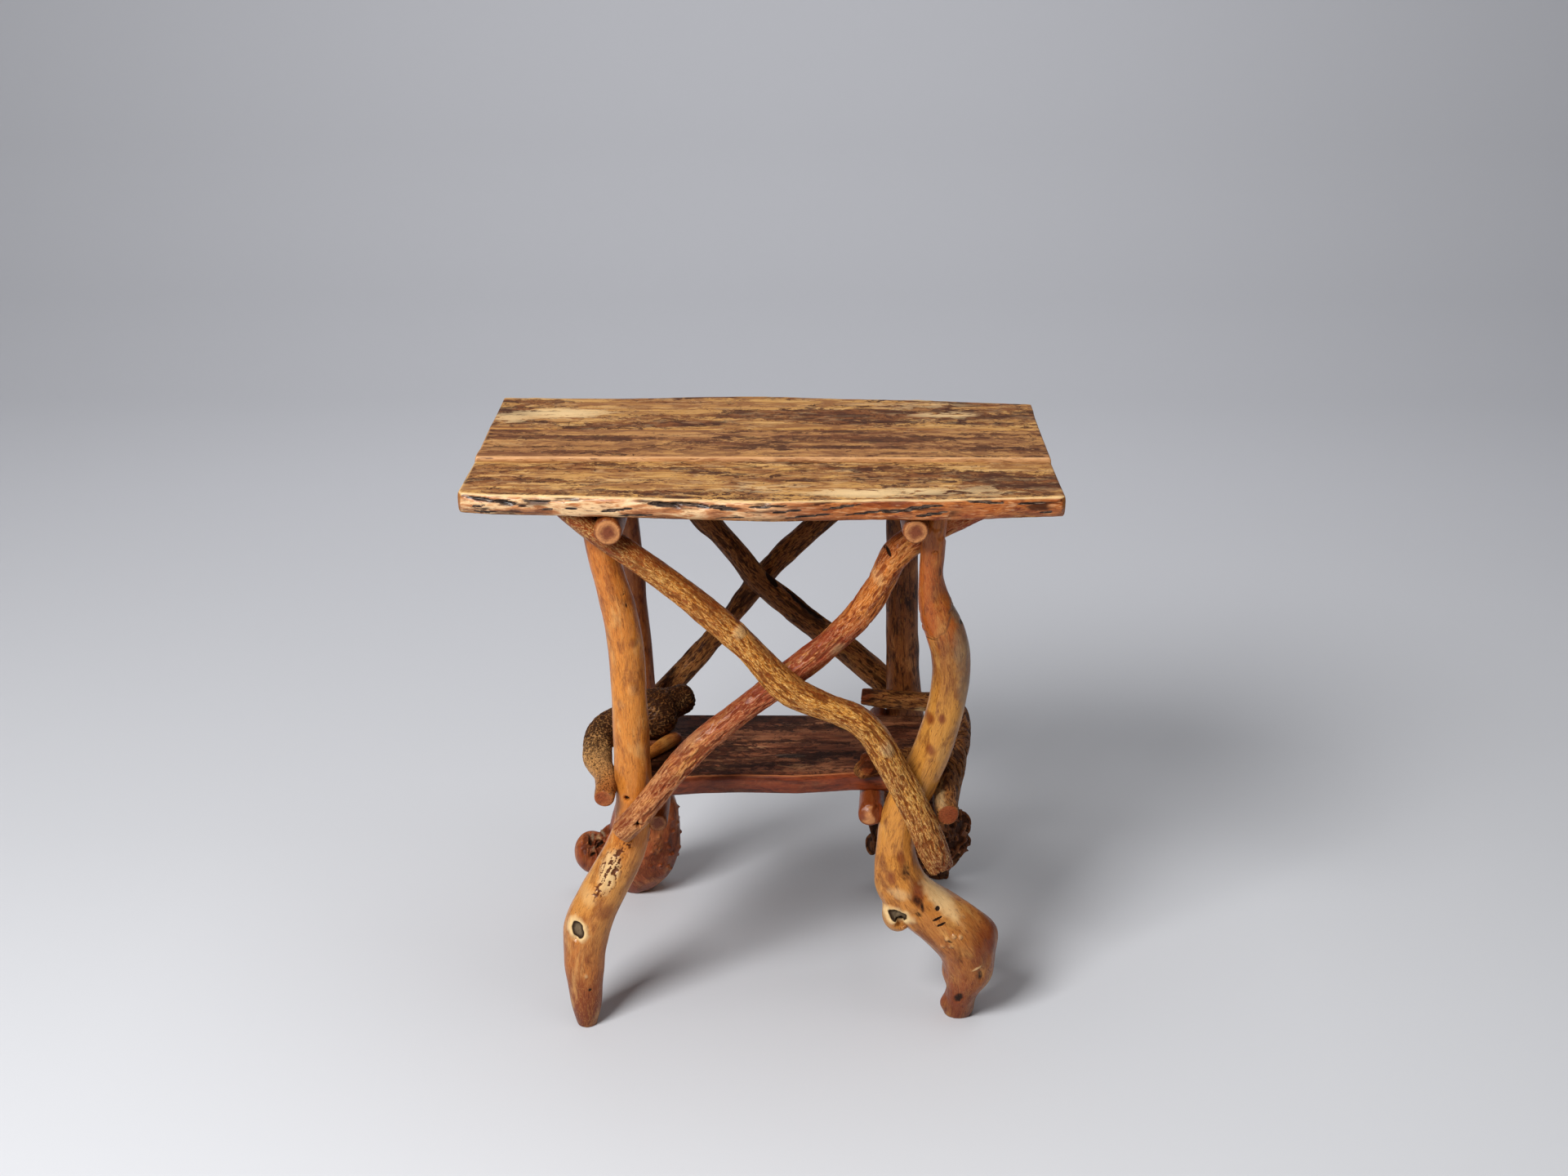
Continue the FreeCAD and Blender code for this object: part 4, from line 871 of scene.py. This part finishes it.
# %% The top and the shelf
front_crevices = [
    (-341, 739, 20, 2.6, -6, 3.0), (-313, 736, 15, 3.2, -8, 4.5), (-272, 738, 22, 1.5, -3, 2.5),
    (-118, 738.5, 22, 3.8, -4, 6.0), (-82, 739, 26, 2.6, -6, 4.0), (-46, 736, 18, 2.6, -8, 3.5),
    (-180, 729, 15, 1.8, 8, 3.0), (-165, 731, 12, 1.2, 10, 2.5), (-346, 730, 10, 1.4, 10, 2.5),
    (-290, 731, 8, 1.2, 0, 2.0), (-230, 730, 9, 1.4, 4, 2.0), (-151, 722, 22, 1.6, 5, 2.5),
    (-36, 722, 20, 1.4, 5, 2.0), (-338, 721, 16, 2.0, 0, 2.5), (-262, 728, 12, 1.0, -6, 2.0),
    (33, 733, 22, 1.1, 6, 2.0), (60, 726, 34, 1.2, 5, 2.2), (98, 737, 26, 1.3, 8, 2.2),
    (130, 729, 30, 1.4, 8, 2.8), (172, 732, 26, 1.8, 6, 3.0), (200, 737, 24, 1.4, 4, 2.6),
    (207, 727, 24, 1.8, 8, 2.6), (232, 735, 14, 1.0, 0, 2.0), (276, 741, 26, 1.2, -4, 2.0),
    (331, 738, 18, 1.4, 0, 2.0), (349, 726, 10, 1.4, 4, 2.0), (8, 739, 26, 1.2, 3, 1.6)]
dress_board("top_board_front", ochre, True, front_crevices,
            [("pale", 128, -200, 90, 24, 1.0), ("pale", 189, -192, 60, 20, 0.9),
             ("pale", -2, -180, 80, 26, 0.4), ("pale", 250, -190, 90, 26, 0.5)], 0.0012, 5)
dress_board("top_board_middle", brown, True, [], [("pale", -330, 0, 60, 40, 0.3)], 0.0, 6)
dress_board("top_board_rear", ochre, False, [],
            [("pale", -275, 143, 80, 34, 1.0), ("pale", -345, 120, 40, 40, 0.7),
             ("pale", 250, 139, 60, 20, 0.8), ("pale", 200, 190, 90, 30, 0.4)], 0.0008, 7)
dress_board("shelf_board", shelf_dark, True, [],
            [("pale", -16, -38, 34, 5, 1.0), ("dark", 37, -66, 26, 9, 0.5),
             ("pale", 60, -100, 50, 16, 0.4)], 0.0, 8)

# %% [markdown]
# ## Floor and backdrop
# The photograph was taken in a plain studio on a pale paper sweep. One edge is extruded
# again and again, first along the floor and then up a bend, so there is no horizon.

# %% Floor and backdrop
sweep = bmesh.new()
start = [sweep.verts.new(place) for place in ((-6, -5, 0), (6, -5, 0))]
line = sweep.edges.new(start)
made = [line]
for forward, rise in ((8.0, 0.0), (0.8, 0.1), (0.7, 0.35), (0.5, 0.7), (0.25, 1.2), (0.0, 4.0)):
    grown = bmesh.ops.extrude_edge_only(sweep, edges=made)["geom"]
    moved = [part for part in grown if isinstance(part, bmesh.types.BMVert)]
    bmesh.ops.translate(sweep, verts=moved, vec=(0, forward, rise))
    made = [part for part in grown if isinstance(part, bmesh.types.BMEdge)
            and all(vert in moved for vert in part.verts)]
bmesh.ops.recalc_face_normals(sweep, faces=sweep.faces)
floor_mesh = bpy.data.meshes.new("studio_floor")
sweep.to_mesh(floor_mesh)
sweep.free()
floor_mesh.shade_smooth()
floor = bpy.data.objects.new("studio_floor", floor_mesh)
bpy.context.scene.collection.objects.link(floor)
paper = Finish("studio_paper")
paper_place = paper.node("ShaderNodeTexCoord", {}, {}, object_place)
_, depth, _ = paper.split("ShaderNodeSeparateXYZ", paper_place)
# Painted light falloff: the even paper is a little darker just behind the table, lighter in front and
# further back
paper_falloff_tones = stops((0.0, (222, 223, 226)), (0.35, (214, 215, 219)),
                    (0.75, (220, 221, 227)), (1.0, (220, 221, 227)))
paper_colour_with_falloff = paper.node("ShaderNodeValToRGB", {"stops": paper_falloff_tones}, {0: (depth + 1.2) / 4.5})
fleece = paper.noise(paper_place, (0.4, 0.4, 0.4), 1)
paper_colour_with_falloff = paper.blend(fleece * 0.2, paper_colour_with_falloff, tint(210, 211, 215))
paper_shader = paper.node("ShaderNodeBsdfPrincipled", {}, {"Base Color": paper_colour_with_falloff, "Roughness": 0.9})
paper.node("ShaderNodeOutputMaterial", {}, {"Surface": paper_shader})
floor.data.materials.append(paper.material)
print("floor", len(floor_mesh.polygons), "strips")

# %% [markdown]
# ## Soft lights
# An area light gives softer shadows the larger it is. The key light stands in front to
# the left, a wide one hangs overhead and fills the shadows, a weak one is on the right,
# and the last one lights only the backdrop. The world adds a little light all round.

# %% Lights
def soft_light(name, place, aim, size, power):
    lamp = bpy.data.lights.new(name, "AREA")
    lamp.shape = "RECTANGLE"
    lamp.size, lamp.size_y = size
    lamp.energy = power
    light = bpy.data.objects.new(name, lamp)
    light.location = place
    light.rotation_euler = (Vector(aim) - Vector(place)).to_track_quat("-Z", "Y").to_euler()
    bpy.context.scene.collection.objects.link(light)


soft_light("key_light", (-1.95, -2.75, 3.3), (0.0, 0.0, 0.4), (1.7, 1.7), 202)
soft_light("top_light", (0.3, 0.3, 4.3), (0.3, 0.3, 0.0), (3.4, 3.4), 56)
soft_light("fill_light", (2.6, -2.6, 1.3), (0.0, 0.0, 0.4), (1.6, 1.6), 4)
soft_light("sweep_light", (0.0, 2.4, 2.6), (0.0, 5.2, 0.4), (2.6, 1.2), 12)
world = bpy.data.worlds.new("studio_air")
bpy.context.scene.world = world
world.use_nodes = True
air = world.node_tree.nodes["Background"]
air.inputs["Color"].default_value = (0.80, 0.82, 0.86, 1)
air.inputs["Strength"].default_value = 0.09
print("lights", len(bpy.data.lights))

# %% [markdown]
# ## The photographer's place
# The camera was worked out from the corners of the top and the four feet. It looks down
# by 20 degrees. A 50.59 mm lens on a 36 mm sensor gives the photograph's perspective.

# %% Camera
lens_data = bpy.data.cameras.new("photo_camera")
lens_data.sensor_width = 36
lens_data.lens = 50.59
camera = bpy.data.objects.new("photo_camera", lens_data)
camera.location = (0.0395, -2.7741, 1.5578)
pitch = Euler((math.radians(70), 0, math.radians(0.245))).to_matrix()
camera.rotation_euler = (pitch @ Matrix.Rotation(math.radians(0.059), 3, "Z")).to_euler()
bpy.context.scene.collection.objects.link(camera)
bpy.context.scene.camera = camera
bpy.context.scene.view_settings.view_transform = "Standard"
print("camera at", tuple(camera.location))
